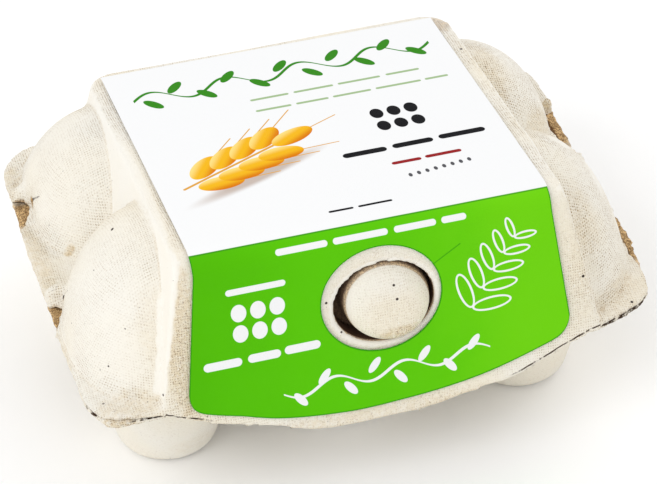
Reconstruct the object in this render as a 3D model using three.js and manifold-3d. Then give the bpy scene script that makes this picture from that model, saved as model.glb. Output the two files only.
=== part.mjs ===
// A shut moulded-pulp box for six eggs, two rows of three, with a paper label over its lid.
//
// Units are millimetres and +Z is up. X runs along the three cells of a row, Y runs from the
// front of the box to its hinge side, and the origin lies on the floor below the middle.
//
// The box is shut, so nothing inside it can be seen: the tray and the lid are solid bodies with
// the true outer form. They are two pieces, parted by a thin dark seam that runs round the rim.
// The tray also carries the closing flap, which stands up inside the front of the lid and ends
// in the rounded knob that locks the box through an oval hole.

import * as THREE from "three";
import { mergeVertices } from "three/addons/utils/BufferGeometryUtils.js";
import Module from "manifold-3d";

const wasm = await Module();
wasm.setup();

// ---- Driving dimensions -----------------------------------------------------------------

// Rim, seen from above
const rimHalfLength = 75.4;
const rimEndHalfLength = 74.4;
const rimFrontY = -55.5;
const rimFrontStraight = 57;
const rimFrontCornerY = -43;
const rimBackY = 58.4;
const rimBackCornerRun = 15;

// Heights of the rim's two layers and of the seam between them
const lidRimTop = 32.4;
const lidRimBottom = 30.7;
const seam = 0.3;
const trayRimThickness = 1.4;
const trayRimInset = 0.7;

// Raised panel that runs from front to back over the middle of the lid
const foldY = -44.6;
const foldZ = 70.4;
const topSlope = THREE.MathUtils.degToRad(8.4);
const frontLean = 0.27;
const foldRadius = 5;
const panelHalfWidth = 49.8;
const panelSideLean = 0.19;
const panelEdgeRadius = 2.5;
const panelBackY = 53;
const panelBackFootY = 56.5;
const panelBackRadius = 4;
const panelCornerRadius = 7;

// Front apron: the lower edge of the lid's front wall hangs down in a shallow curve
const apronHalfWidth = 56;
const apronBend = 30;
const apronMiddleZ = 19.2;
const apronEndZ = 31.5;
const wallThickness = 2.8;

// Domes over the four corner eggs
const frontDome = { x: 48, y: -21, z: 31.5, rx: 24.5, ry: 27.5, rz: 34 };
const backDome = { x: 48.6, y: 31.3, z: 30, rx: 23.6, ry: 25.6, rz: 25.6 };

// Nicks in the lid's rim: where along the side, how long and how deep each one is
const rimNicks = [
  { side: -1, backY: 35.8, length: 11, depth: 7 },
  { side: -1, backY: -9.5, length: 8, depth: 5 },
  { side: 1, backY: 36, length: 20, depth: 4 },
  { side: 1, backY: -14, length: 16, depth: 2.6 },
];

// Oval hole in the front wall, the flap behind it and the knob that shows in it
const holeX = 1;
const holeZ = 50.8;
const holeHalfWidth = 12.9;
const holeHalfHeight = 10.6;
const flapHalfWidth = 22;
const flapTopZ = 65;
const flapThickness = 3;
const flapSetBack = 6.5;
const slotClearance = 0.5;
const knobX = 1.9;
const knobZ = 50.75;
const knobHalfWidth = 11.4;
const knobHalfHeight = 10;
const knobProud = 2.2;
const knobSquareness = 5;

// Cups of the tray, which sit a little to the left of the lid's middle
const cupsMiddleX = -1.8;
const cupPitchX = 48;
const cupFrontRowY = -27.4;
const cupBackRowY = 25.5;
const cupFootRadius = 13.6;
const cupFootFillet = 4;
const cupWaistRadius = 17;
const cupWaistZ = 22;
const cupMouthRadius = 22;
const webHalfWidth = 5;
const webBottomZ = 17;

// Paper label, glued over the panel's top and front
const labelThickness = 0.4;
const labelGap = 0.3;
const labelHalfWidth = 45.7;
const labelSideLean = 0.075;
const labelBackY = 50.6;
const labelDrop = 42;
const labelSag = 6;
const labelCornerRun = 5;
const cutoutX = 0.4;
const cutoutZ = 51.4;
const cutoutHalfWidth = 15.5;
const cutoutHalfHeight = 13.6;

// Fineness of the facets, and the radius of a corner that stays sharp
const sharp = 0.01;
const arcSegments = 6;
const ovalSegments = 40;
const domeSegments = 44;
const cupSegments = 36;

// ---- From three.js shapes to solids and back --------------------------------------------

function solidOf(geometry) {
  const bare = geometry.clone();
  bare.deleteAttribute("normal");
  bare.deleteAttribute("uv");
  const merged = mergeVertices(bare, 1e-4);
  return new wasm.Manifold(new wasm.Mesh({
    numProp: 3,
    vertProperties: new Float32Array(merged.attributes.position.array),
    triVerts: new Uint32Array(merged.index.array),
  }));
}

function meshOf(name, solid, material) {
  const faces = solid.getMesh();
  const geometry = new THREE.BufferGeometry();
  geometry.setAttribute("position", new THREE.BufferAttribute(faces.vertProperties, 3));
  geometry.setIndex(new THREE.BufferAttribute(faces.triVerts, 1));
  geometry.computeVertexNormals();
  const mesh = new THREE.Mesh(geometry, material);
  mesh.name = name;
  return mesh;
}

// A closed outline whose corners [u, v, radius] are rounded with true arcs
function roundedOutline(corners) {
  const shape = new THREE.Shape();
  corners.forEach(([u, v, radius], i) => {
    const corner = new THREE.Vector2(u, v);
    const before = new THREE.Vector2(...corners.at(i - 1));
    const after = new THREE.Vector2(...corners[(i + 1) % corners.length]);
    const back = before.sub(corner).normalize();
    const ahead = after.sub(corner).normalize();
    const halfAngle = Math.acos(back.dot(ahead)) / 2;
    const run = radius / Math.tan(halfAngle);
    const start = corner.clone().addScaledVector(back, run);
    const middle = back.clone().add(ahead).normalize().multiplyScalar(radius / Math.sin(halfAngle));
    const centre = corner.clone().add(middle);
    const end = corner.clone().addScaledVector(ahead, run);
    const from = start.clone().sub(centre).angle();
    const to = end.clone().sub(centre).angle();
    const turnsRight = back.cross(ahead) > 0;
    shape.absarc(centre.x, centre.y, radius, from, to, turnsRight);
  });
  shape.closePath();
  return shape;
}

// Three ways to lay an extruded outline: its plane is the floor, the side view or the front view
function extrudeUp(shape, bottom, top, curveSegments = arcSegments) {
  const options = { depth: top - bottom, bevelEnabled: false, curveSegments };
  return new THREE.ExtrudeGeometry(shape, options).translate(0, 0, bottom);
}

function extrudeAcross(shape, halfWidth, curveSegments = arcSegments) {
  const geometry = extrudeUp(shape, -halfWidth, halfWidth, curveSegments);
  const axes = new THREE.Matrix4().makeBasis(
    new THREE.Vector3(0, 1, 0),
    new THREE.Vector3(0, 0, 1),
    new THREE.Vector3(1, 0, 0),
  );
  return geometry.applyMatrix4(axes);
}

function extrudeBack(shape, frontY, backY, curveSegments = arcSegments) {
  return extrudeUp(shape, -backY, -frontY, curveSegments).rotateX(Math.PI / 2);
}

// The same as extrudeBack, but running back and down along the sloping top of the lid, with the
// outline's zero height on that top
function extrudeDownTheTop(shape, curveSegments = arcSegments) {
  const geometry = extrudeBack(shape, 2 * foldY, 4 * rimBackY, curveSegments);
  return geometry.rotateX(-topSlope).translate(0, foldY, foldZ);
}

// ---- Lines that several pieces share ----------------------------------------------------

const topHeight = (y) => foldZ - Math.tan(topSlope) * (y - foldY);
const frontWallY = (z) => foldY - frontLean * (foldZ - z);

// Side view of the panel: front wall, fold, sloping top and back wall, all moved outwards by proud
function panelProfile(bottom, proud) {
  const fall = Math.tan(topSlope);
  const frontProud = proud * Math.hypot(1, frontLean);
  const topProud = proud * Math.hypot(1, fall);
  const foldRise = (topProud + fall * frontProud) / (1 + fall * frontLean);
  const backY = panelBackY + proud;
  return roundedOutline([
    [frontWallY(bottom) - frontProud, bottom, sharp],
    [panelBackFootY + proud, bottom, sharp],
    [backY, topHeight(backY) + topProud, panelBackRadius + proud],
    [foldY - frontProud + frontLean * foldRise, foldZ + foldRise, foldRadius + proud],
  ]);
}

// Outline of the rim from above, moved inwards by inset: long sides slightly bowed, front corners
// cut round, back corners rounder still
function rimOutline(inset) {
  const end = rimEndHalfLength - inset;
  const middle = rimHalfLength - inset;
  const front = rimFrontY + inset;
  const back = rimBackY - inset;
  const shape = new THREE.Shape();
  shape.moveTo(0, front);
  shape.lineTo(rimFrontStraight, front);
  shape.quadraticCurveTo(end - 1.6, front + 1.4, end, rimFrontCornerY);
  shape.quadraticCurveTo(2 * middle - end, 0, end, back - rimBackCornerRun);
  shape.quadraticCurveTo(end - 1, back - 1, end - rimBackCornerRun, back);
  shape.lineTo(0, back);
  const half = shape.getPoints(arcSegments * 2);
  const mirrored = half.slice(1, -1).reverse().map((p) => new THREE.Vector2(-p.x, p.y));
  return new THREE.Shape([...half, ...mirrored]);
}

// A slab that leans with the front wall, between two depths behind that wall's outer face
function leaningSlab(frontDepth, backDepth, bottom, top, halfWidth, middleX = 0) {
  const shape = new THREE.Shape([
    new THREE.Vector2(frontWallY(bottom) + frontDepth, bottom),
    new THREE.Vector2(frontWallY(bottom) + backDepth, bottom),
    new THREE.Vector2(frontWallY(top) + backDepth, top),
    new THREE.Vector2(frontWallY(top) + frontDepth, top),
  ]);
  return solidOf(extrudeAcross(shape, halfWidth).translate(middleX, 0, 0));
}

// An oval opening from well in front of the front wall to a depth behind its outer face
function frontOval(x, z, halfWidth, halfHeight, depth) {
  const shape = new THREE.Shape();
  shape.absellipse(x, z, halfWidth, halfHeight, 0, 2 * Math.PI);
  const oval = solidOf(extrudeBack(shape, 2 * foldY, 0, ovalSegments));
  const reach = 1.5 * halfHeight;
  return oval.intersect(leaningSlab(-halfHeight, depth, z - reach, z + reach, 2 * halfWidth));
}

// ---- Lid --------------------------------------------------------------------------------

function dome({ x, y, z, rx, ry, rz }, side) {
  const geometry = new THREE.SphereGeometry(1, domeSegments, domeSegments / 2);
  geometry.rotateX(Math.PI / 2).scale(rx, ry, rz).translate(side * x, y, z);
  return solidOf(geometry);
}

function lidPanel() {
  const profile = solidOf(extrudeAcross(panelProfile(lidRimBottom, 0), rimHalfLength));
  const drop = foldZ;
  const sides = roundedOutline([
    [-panelHalfWidth - panelSideLean * drop, -drop, sharp],
    [panelHalfWidth + panelSideLean * drop, -drop, sharp],
    [panelHalfWidth, 0, panelEdgeRadius],
    [-panelHalfWidth, 0, panelEdgeRadius],
  ]);
  const low = panelHalfWidth + panelSideLean * drop;
  const plan = roundedOutline([
    [-low, 2 * foldY, sharp],
    [low, 2 * foldY, sharp],
    [panelHalfWidth, panelBackY + 0.5, panelCornerRadius],
    [-panelHalfWidth, panelBackY + 0.5, panelCornerRadius],
  ]);
  return profile
    .intersect(solidOf(extrudeDownTheTop(sides)))
    .intersect(solidOf(extrudeUp(plan, 0, 2 * foldZ)));
}

function lidApron() {
  const wall = leaningSlab(0, wallThickness, apronMiddleZ - 1, lidRimTop, apronHalfWidth + 5);
  // The lower edge is a cubic curve that reaches its lowest point in the middle
  const controlZ = (4 * apronMiddleZ - apronEndZ) / 3;
  const front = new THREE.Shape();
  front.moveTo(-apronHalfWidth, lidRimTop + 1);
  front.lineTo(-apronHalfWidth, apronEndZ);
  front.bezierCurveTo(-apronBend, controlZ, apronBend, controlZ, apronHalfWidth, apronEndZ);
  front.lineTo(apronHalfWidth, lidRimTop + 1);
  front.closePath();
  return wall.intersect(solidOf(extrudeBack(front, 2 * foldY, 0, arcSegments * 4)));
}

function rimNick({ side, backY, length, depth }) {
  const edge = side * (rimHalfLength + 1);
  const points = [
    new THREE.Vector2(edge, backY),
    new THREE.Vector2(edge, backY - length),
    new THREE.Vector2(edge - side * (depth + 1), backY - 1),
  ];
  if (side < 0) points.reverse();
  return solidOf(extrudeUp(new THREE.Shape(points), lidRimBottom - 1, lidRimTop + 1));
}

function makeLid() {
  const aheadOfWall = leaningSlab(-2 * wallThickness, 0, lidRimBottom - 1, lidRimTop + 1, apronHalfWidth);
  let lid = solidOf(extrudeUp(rimOutline(0), lidRimBottom, lidRimTop)).subtract(aheadOfWall);
  for (const nick of rimNicks) {
    lid = lid.subtract(rimNick(nick));
  }
  for (const side of [-1, 1]) {
    lid = lid.add(dome(frontDome, side)).add(dome(backDome, side));
  }
  const below = new THREE.BoxGeometry(400, 400, 100).translate(0, 0, lidRimBottom - 50);
  lid = lid.add(lidPanel()).subtract(solidOf(below)).add(lidApron());
  const hole = frontOval(holeX, holeZ, holeHalfWidth, holeHalfHeight, flapSetBack);
  const slot = leaningSlab(
    flapSetBack - slotClearance,
    flapSetBack + flapThickness + slotClearance,
    lidRimBottom - 1,
    flapTopZ + slotClearance,
    flapHalfWidth + slotClearance,
    holeX,
  );
  return lid.subtract(hole).subtract(slot);
}

// ---- Tray -------------------------------------------------------------------------------

function cup(x, y, top) {
  const profile = [new THREE.Vector2(0, 0)];
  for (let i = 0; i <= arcSegments; i += 1) {
    const turn = (i / arcSegments) * (Math.PI / 2);
    profile.push(new THREE.Vector2(
      cupFootRadius - cupFootFillet * (1 - Math.sin(turn)),
      cupFootFillet * (1 - Math.cos(turn)),
    ));
  }
  profile.push(new THREE.Vector2(cupWaistRadius, cupWaistZ));
  profile.push(new THREE.Vector2((cupWaistRadius + cupMouthRadius) / 2, (2 * top + cupWaistZ) / 3));
  profile.push(new THREE.Vector2(cupMouthRadius, top));
  profile.push(new THREE.Vector2(0, top));
  return solidOf(new THREE.LatheGeometry(profile, cupSegments).rotateX(Math.PI / 2).translate(x, y, 0));
}

function makeTray() {
  const top = lidRimBottom - seam;
  const bottom = top - trayRimThickness;
  const roomHalfWidth = apronHalfWidth + seam;
  const apronRoom = leaningSlab(-wallThickness, wallThickness + seam, bottom - 1, top + 1, roomHalfWidth);
  let tray = solidOf(extrudeUp(rimOutline(trayRimInset), bottom, top)).subtract(apronRoom);
  const middle = (bottom + top) / 2;
  const columns = [-cupPitchX, 0, cupPitchX].map((x) => cupsMiddleX + x);
  const rows = [cupFrontRowY, cupBackRowY];
  for (const x of columns) {
    for (const y of rows) {
      tray = tray.add(cup(x, y, middle));
    }
  }
  const webHeight = middle - webBottomZ;
  const webMiddleZ = (middle + webBottomZ) / 2;
  for (const y of rows) {
    const web = new THREE.BoxGeometry(2 * cupPitchX, 2 * webHalfWidth, webHeight);
    tray = tray.add(solidOf(web.translate(cupsMiddleX, y, webMiddleZ)));
  }
  for (const x of columns) {
    const web = new THREE.BoxGeometry(2 * webHalfWidth, cupBackRowY - cupFrontRowY, webHeight);
    tray = tray.add(solidOf(web.translate(x, (cupBackRowY + cupFrontRowY) / 2, webMiddleZ)));
  }
  return tray.add(closingFlap(middle));
}

function closingFlap(bottom) {
  const flapBack = flapSetBack + flapThickness;
  const flap = leaningSlab(flapSetBack, flapBack, bottom, flapTopZ, flapHalfWidth, holeX);
  // The knob's side view is a squarish superellipse, turned about the line that points forwards
  // and then sheared, so that its face leans back like the wall and it stands clear of the hole
  const profile = [new THREE.Vector2(0, -0.2), new THREE.Vector2(1, -0.2)];
  const steps = 2 * arcSegments;
  for (let i = 0; i < steps; i += 1) {
    const turn = (i / steps) * (Math.PI / 2);
    profile.push(new THREE.Vector2(
      Math.cos(turn) ** (2 / knobSquareness),
      Math.sin(turn) ** (2 / knobSquareness),
    ));
  }
  profile.push(new THREE.Vector2(0, 1));
  const knob = new THREE.LatheGeometry(profile, ovalSegments);
  knob.scale(knobHalfWidth, flapSetBack + knobProud, knobHalfHeight).rotateZ(Math.PI);
  const leanBack = new THREE.Matrix4().makeShear(0, 0, 0, 0, 0, frontLean);
  knob.applyMatrix4(leanBack).translate(knobX, frontWallY(knobZ) + flapSetBack, knobZ);
  return flap.add(solidOf(knob));
}

// ---- Label ------------------------------------------------------------------------------

function makeLabel() {
  const bottom = apronMiddleZ - 2;
  const outer = solidOf(extrudeAcross(panelProfile(bottom, labelGap + labelThickness), rimHalfLength));
  const inner = solidOf(extrudeAcross(panelProfile(bottom, labelGap), 2 * rimHalfLength));
  const front = new THREE.Shape();
  const low = labelHalfWidth + labelSideLean * labelDrop;
  front.moveTo(-labelHalfWidth, 0);
  front.lineTo(-labelHalfWidth, 5);
  front.lineTo(labelHalfWidth, 5);
  front.lineTo(labelHalfWidth, 0);
  front.lineTo(low, labelCornerRun - labelDrop);
  front.quadraticCurveTo(low, -labelDrop, low - labelCornerRun, -labelDrop);
  front.quadraticCurveTo(0, -labelDrop - 2 * labelSag, labelCornerRun - low, -labelDrop);
  front.quadraticCurveTo(-low, -labelDrop, -low, labelCornerRun - labelDrop);
  front.closePath();
  const behind = new THREE.BoxGeometry(400, 100, 400).translate(0, labelBackY + 50, 0);
  return outer
    .subtract(inner)
    .intersect(solidOf(extrudeDownTheTop(front, arcSegments * 3)))
    .subtract(solidOf(behind))
    .subtract(frontOval(cutoutX, cutoutZ, cutoutHalfWidth, cutoutHalfHeight, flapSetBack));
}

// ---- Finishes and the finished group ----------------------------------------------------

const lidPulp = new THREE.MeshStandardMaterial({ color: "#ece7da", roughness: 0.95, metalness: 0 });
const trayPulp = new THREE.MeshStandardMaterial({ color: "#ddd3bf", roughness: 0.95, metalness: 0 });
const labelPaper = new THREE.MeshStandardMaterial({ color: "#8fc63a", roughness: 0.5, metalness: 0 });

const eggBox = new THREE.Group();
eggBox.add(meshOf("tray", makeTray(), trayPulp));
eggBox.add(meshOf("lid", makeLid(), lidPulp));
eggBox.add(meshOf("label", makeLabel(), labelPaper));

export default eggBox;
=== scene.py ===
# %% [markdown]
# # A shut egg box of moulded pulp
#
# The box holds six eggs in two rows of three. It is pressed from wet paper pulp on a wire mould,
# so every face carries the fine mark of the wire, and its edges are soft and a little torn.
# A sloping panel runs over the middle of the lid, four domes cover the corner eggs, a printed
# paper label is folded over the front, and a knob locks the box through an oval hole.
#
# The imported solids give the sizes. They are simple, so three richer pieces stand for them here:
# the lid, the tray with its knob, and the label.

import math

import bmesh
import bpy
from mathutils import Matrix, Vector, noise
from mathutils.bvhtree import BVHTree


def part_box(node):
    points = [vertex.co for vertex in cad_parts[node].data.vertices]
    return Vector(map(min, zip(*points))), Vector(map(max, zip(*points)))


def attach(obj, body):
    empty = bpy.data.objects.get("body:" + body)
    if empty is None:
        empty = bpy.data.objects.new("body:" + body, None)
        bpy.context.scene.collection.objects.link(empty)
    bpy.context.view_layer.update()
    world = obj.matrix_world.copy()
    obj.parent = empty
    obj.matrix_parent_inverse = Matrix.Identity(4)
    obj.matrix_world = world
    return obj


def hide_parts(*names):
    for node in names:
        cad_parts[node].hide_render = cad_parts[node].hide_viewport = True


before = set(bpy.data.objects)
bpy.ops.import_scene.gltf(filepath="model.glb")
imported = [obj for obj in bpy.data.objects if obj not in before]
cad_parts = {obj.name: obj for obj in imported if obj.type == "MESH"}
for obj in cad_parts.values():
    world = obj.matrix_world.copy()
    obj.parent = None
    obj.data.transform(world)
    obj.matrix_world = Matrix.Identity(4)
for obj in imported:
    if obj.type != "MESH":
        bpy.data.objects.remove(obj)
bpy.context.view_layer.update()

# %% [markdown]
# ## Sizes
#
# Pieces are shaped in millimetres, because pulp walls and print are easier to think of that way,
# and each finished mesh is scaled to metres once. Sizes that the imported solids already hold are
# read from them. The others are the lines that several pieces share: the sloping top, the
# leaning front wall and the fold between them.

# %% Sizes in millimetres
MM = 0.001


def box_in_mm(name):
    low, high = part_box(name)
    return low / MM, high / MM


LID_LOW, LID_HIGH = box_in_mm("lid")
TRAY_LOW, TRAY_HIGH = box_in_mm("tray")
LABEL_BACK_Y = box_in_mm("label")[1].y

RIM_HALF = Vector((LID_HIGH.x, LID_HIGH.y))
LID_RIM = (30.45, 32.4)
TRAY_RIM = (29.0, 30.6)

FOLD_Y, FOLD_Z = -44.6, 70.4
TOP_SLOPE = math.tan(math.radians(8.4))
FRONT_LEAN = 0.27
PANEL_HALF_WIDTH = 49.8
PANEL_SIDE_LEAN = 0.19


def top_height(y):
    return FOLD_Z - TOP_SLOPE * (y - FOLD_Y)


def front_wall_y(z):
    return FOLD_Y - FRONT_LEAN * (FOLD_Z - z)


print("lid", LID_LOW, LID_HIGH, "tray", TRAY_LOW, TRAY_HIGH)

# %% [markdown]
# ## Camera
#
# The box is seen from above and a little from its left, through a long lens. The camera's turn,
# its angle down and a slight roll are three rotations, one after the other.

# %% Camera
VIEW_TURN = math.radians(16.407)
VIEW_DOWN = math.radians(40.049)
VIEW_ROLL = math.radians(0.403)
CAMERA_SPOT = Vector((-183.63, -629.55, 580.39)) * MM
SENSOR_WIDTH = 36.0
FOCAL_LENGTH = 179.04

camera_data = bpy.data.cameras.new("camera")
camera_data.sensor_fit = "HORIZONTAL"
camera_data.sensor_width = SENSOR_WIDTH
camera_data.lens = FOCAL_LENGTH
camera_data.clip_start = 0.01
camera = bpy.data.objects.new("camera", camera_data)
turn = Matrix.Rotation(-VIEW_TURN, 4, "Z")
tilt = Matrix.Rotation(math.pi / 2 - VIEW_DOWN, 4, "X")
roll = Matrix.Rotation(-VIEW_ROLL, 4, "Z")
camera.matrix_world = Matrix.Translation(CAMERA_SPOT) @ turn @ tilt @ roll
bpy.context.scene.collection.objects.link(camera)
bpy.context.scene.camera = camera
print("camera axes", camera.matrix_world.to_3x3())

# %% [markdown]
# ## Soft studio light
#
# Packs like this one stand on a pale sheet in a bright room. A strong even sky makes soft
# shadows, and two discs of light shape the forms: one high at the left, so that pulp facing left
# is almost white, and a weaker one at the right and a little behind, which gives the domes a
# bright upper edge. The floor is one plain pale plane.

# %% Lights and floor
SKY_STRENGTH = 0.87
LAMP_SIZE = 0.7
# name, place in metres, and power; every lamp points at the box
LAMPS = (
    ("key lamp", (-0.75, -0.35, 0.75), 3.0),
    ("fill lamp", (0.77, 0.45, 0.75), 2.2),
)
FLOOR_HALF_WIDTH = 3.0
FLOOR_GREY = 0.985
FLOOR_ROUGHNESS = 0.9


def object_from(name, bm):
    """A bmesh becomes an object of its own in the scene."""
    mesh = bpy.data.meshes.new(name)
    bm.to_mesh(mesh)
    bm.free()
    obj = bpy.data.objects.new(name, mesh)
    bpy.context.scene.collection.objects.link(obj)
    return obj


for name, spot, power in LAMPS:
    lamp_data = bpy.data.lights.new(name, "AREA")
    lamp_data.shape = "DISK"
    lamp_data.size = LAMP_SIZE
    lamp_data.energy = power
    lamp = bpy.data.objects.new(name, lamp_data)
    lamp.location = spot
    lamp.rotation_euler = (-Vector(spot)).to_track_quat("-Z", "Y").to_euler()
    bpy.context.scene.collection.objects.link(lamp)

world = bpy.data.worlds.new("pale room")
world.use_nodes = True
sky = world.node_tree.nodes["Background"].inputs
sky["Color"].default_value = (1.0, 1.0, 1.0, 1.0)
sky["Strength"].default_value = SKY_STRENGTH
bpy.context.scene.world = world
bpy.context.scene.view_settings.view_transform = "Standard"

floor_mesh = bmesh.new()
bmesh.ops.create_grid(floor_mesh, x_segments=1, y_segments=1, size=FLOOR_HALF_WIDTH)
floor = object_from("floor", floor_mesh)
floor_paint = bpy.data.materials.new("floor paint")
floor_paint.use_nodes = True
floor_shader = floor_paint.node_tree.nodes["Principled BSDF"].inputs
floor_shader["Base Color"].default_value = (FLOOR_GREY, FLOOR_GREY, FLOOR_GREY, 1.0)
floor_shader["Roughness"].default_value = FLOOR_ROUGHNESS
floor.data.materials.append(floor_paint)
print("lamps:", [name for name, spot, power in LAMPS], "and a floor")

# %% [markdown]
# ## Helpers for moulded pulp
#
# Pulp has no sharp inner corners, because it is sucked onto a wire form. Hand-modelling every
# fillet between domes, panel and rim would take many edge loops. Here each main form is a plain
# closed blank, a voxel remesh fuses the blanks into one skin, and a few rounds of smoothing
# give all the corners their soft radius at once.

# %% Blanks and fusing
SAME_SPOT = 0.0001
BALL_SEGMENTS = {"u_segments": 64, "v_segments": 40}


def blank(name, bm):
    """A closed form in millimetres, with its faces turned outwards."""
    bmesh.ops.remove_doubles(bm, verts=bm.verts, dist=SAME_SPOT)
    bmesh.ops.recalc_face_normals(bm, faces=bm.faces)
    return object_from(name, bm)


def settle(obj):
    """The object's modifiers become part of its mesh."""
    graph = bpy.context.evaluated_depsgraph_get()
    mesh = bpy.data.meshes.new_from_object(obj.evaluated_get(graph))
    obj.modifiers.clear()
    obj.data = mesh
    return obj


def discard(*objects):
    for obj in objects:
        bpy.data.objects.remove(obj)


def carve(obj, cutter):
    cut = obj.modifiers.new("carve", "BOOLEAN")
    cut.operation = "DIFFERENCE"
    cut.solver = "EXACT"
    cut.object = cutter
    settle(obj)


def fuse(name, blanks, voxel):
    """Blanks that overlap become one closed skin."""
    bm = bmesh.new()
    for obj in blanks:
        bm.from_mesh(obj.data)
    fused = object_from(name, bm)
    discard(*blanks)
    remesh = fused.modifiers.new("fuse", "REMESH")
    remesh.mode = "VOXEL"
    remesh.voxel_size = voxel
    return settle(fused)


def weigh(obj, name, weight_at):
    """A vertex group whose weight is worked out from each vertex's place."""
    group = obj.vertex_groups.new(name=name)
    for vertex in obj.data.vertices:
        group.add([vertex.index], weight_at(vertex.co), "REPLACE")
    return group


def soften(obj, rounds, group=None):
    smooth = obj.modifiers.new("soften", "SMOOTH")
    smooth.factor = 0.5
    smooth.iterations = rounds
    if group:
        smooth.vertex_group = group.name
    settle(obj)


def keep(obj, name, values):
    """Stores one number per vertex for the material to read."""
    attribute = obj.data.attributes.new(name, "FLOAT", "POINT")
    attribute.data.foreach_set("value", values)


def extrude_by(bm, faces, offset):
    """Pulls faces along an offset, which leaves a closed solid."""
    pulled = bmesh.ops.extrude_face_region(bm, geom=faces)["geom"]
    moved = [item for item in pulled if isinstance(item, bmesh.types.BMVert)]
    bmesh.ops.translate(bm, verts=moved, vec=offset)


def pull_up(bm, corners, bottom, top):
    """A flat face through corners in x and y, pulled up from bottom to top."""
    face = bm.faces.new([bm.verts.new((x, y, bottom)) for x, y in corners])
    extrude_by(bm, [face], (0, 0, top - bottom))


def round_off(bm, is_chosen, size):
    """Rounds the edges that a test picks."""
    bmesh.ops.bevel(
        bm, geom=[edge for edge in bm.edges if is_chosen(edge)], offset=size,
        offset_type="OFFSET", affect="EDGES", segments=8, profile=0.5, material=-1,
    )


def rise_of(edge):
    return abs(edge.verts[0].co.z - edge.verts[1].co.z)


def ramp(value, start, end):
    """0 before start, 1 after end, and smooth between them."""
    t = min(max((value - start) / (end - start), 0.0), 1.0)
    return t * t * (3.0 - 2.0 * t)


# %% [markdown]
# ## The rim
#
# Lid and tray each end in a flat flange, and the two lie on each other round the box. Seen from
# above the flange is nearly a rectangle: its front corners are cut off and its back corners are
# round. One face with a few corners is pulled up into a slab, and a bevel rounds its upright
# edges. Nicks are torn into the lid's flange at both sides; they are cut out as wedges, which
# leaves the tray's flange to be seen below.

# %% Rim slab
LID_RIM_CORNERS = (
    (-58.5, -55.0), (-50.0, -54.4), (50.0, -54.4), (57.0, -54.6), (65.4, -51.5),
    (70.7, -49.0), (74.2, -45.3), (74.8, -36.0), (75.4, -28.0), (76.2, -13.0), (76.3, 24.0),
    (75.2, RIM_HALF.y), (-74.8, RIM_HALF.y), (-75.4, 15.0), (-75.2, -5.0), (-75.0, -20.0),
    (-74.4, -45.0), (-71.6, -50.7), (-65.9, -53.6),
)
TRAY_RIM_CORNERS = (
    (-58.5, -54.6), (-50.0, -54.0), (50.0, -54.0), (57.0, -54.0), (65.4, -51.0),
    (70.7, -48.5), (74.0, -45.3), (75.0, -38.0), (76.4, -29.0), (77.1, -20.0), (76.6, -8.0),
    (75.9, 15.0), (75.7, 30.0), (75.0, RIM_HALF.y - 0.3), (-74.5, RIM_HALF.y - 0.3),
    (-74.9, 15.0), (-75.0, -20.0), (-74.3, -45.0), (-72.0, -50.0), (-70.0, -53.6),
    (-64.6, -54.2),
)
FRONT_CORNER_ROUND = 1.6
BACK_CORNER_ROUND = 13.0


def rim_slab(name, corners, bottom, top):
    bm = bmesh.new()
    pull_up(bm, corners, bottom, top)
    for end, size in ((-1, FRONT_CORNER_ROUND), (1, BACK_CORNER_ROUND)):
        round_off(bm, lambda e: rise_of(e) > 0.5 and e.verts[0].co.y * end > 40.0, size)
    return blank(name, bm)


# %% [markdown]
# ## Tears in the rim
#
# At both sides the lid's flange is torn in two places, where the box was opened. Each tear is
# a line of points along its inner edge. Two more points outside the rim close it, the face is
# pulled up, and the solid is cut out of the flange.

# %% Tears in the lid's rim
RIM_TEARS = (
    ((-79.0, 37.6), (-72.5, 36.1), (-67.9, 37.3), (-69.9, 34.0), (-71.3, 31.4), (-72.6, 28.5),
     (-73.6, 26.0), (-79.0, 23.0)),
    ((-79.0, -7.6), (-72.5, -7.8), (-70.3, -6.9), (-69.0, -4.4), (-70.8, -8.9), (-72.9, -12.2),
     (-73.9, -15.5), (-79.0, -17.5)),
    ((79.0, 34.5), (73.2, 33.4), (72.4, 28.0), (71.8, 22.5), (73.2, 16.5), (75.0, 12.5),
     (79.0, 11.0)),
    ((79.0, -11.6), (75.4, -14.6), (74.5, -19.8), (73.9, -24.7), (74.2, -29.0), (73.8, -33.0),
     (79.0, -39.0)),
)


def tear_wedge(points):
    bm = bmesh.new()
    pull_up(bm, points, LID_RIM[0] - 2.0, LID_RIM[0] + 4.0)
    return blank("tear", bm)


lid_rim = rim_slab("lid rim", LID_RIM_CORNERS, *LID_RIM)
for tear in RIM_TEARS:
    wedge = tear_wedge(tear)
    carve(lid_rim, wedge)
    discard(wedge)
print("lid rim faces:", len(lid_rim.data.polygons))

# %% [markdown]
# ## The panel
#
# The panel is a cube whose corners are moved to where the walls meet: a high fold at the front,
# a lower back, sides that lean in. A bevel rounds the fold and the back corners.

# %% Panel block
PANEL_BACK_Y = 53.0
PANEL_BACK_FOOT_Y = 56.5
FOLD_RADIUS = 4.6
PANEL_BACK_ROUND = 7.0


def panel_corner(sign):
    """Where the corner of the unit cube with these signs goes."""
    top = sign.z > 0
    if sign.y < 0:
        z = FOLD_Z if top else LID_RIM[0]
        y = front_wall_y(z)
    else:
        y = PANEL_BACK_Y if top else PANEL_BACK_FOOT_Y
        z = top_height(y) if top else LID_RIM[0]
    half = PANEL_HALF_WIDTH + PANEL_SIDE_LEAN * (top_height(y) - z)
    return Vector((math.copysign(half, sign.x), y, z))


def is_fold(edge):
    return all(v.co.z > FOLD_Z - 1.0 for v in edge.verts)


def is_back_upright(edge):
    return rise_of(edge) > 5.0 and all(v.co.y > PANEL_BACK_Y - 1.0 for v in edge.verts)


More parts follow.
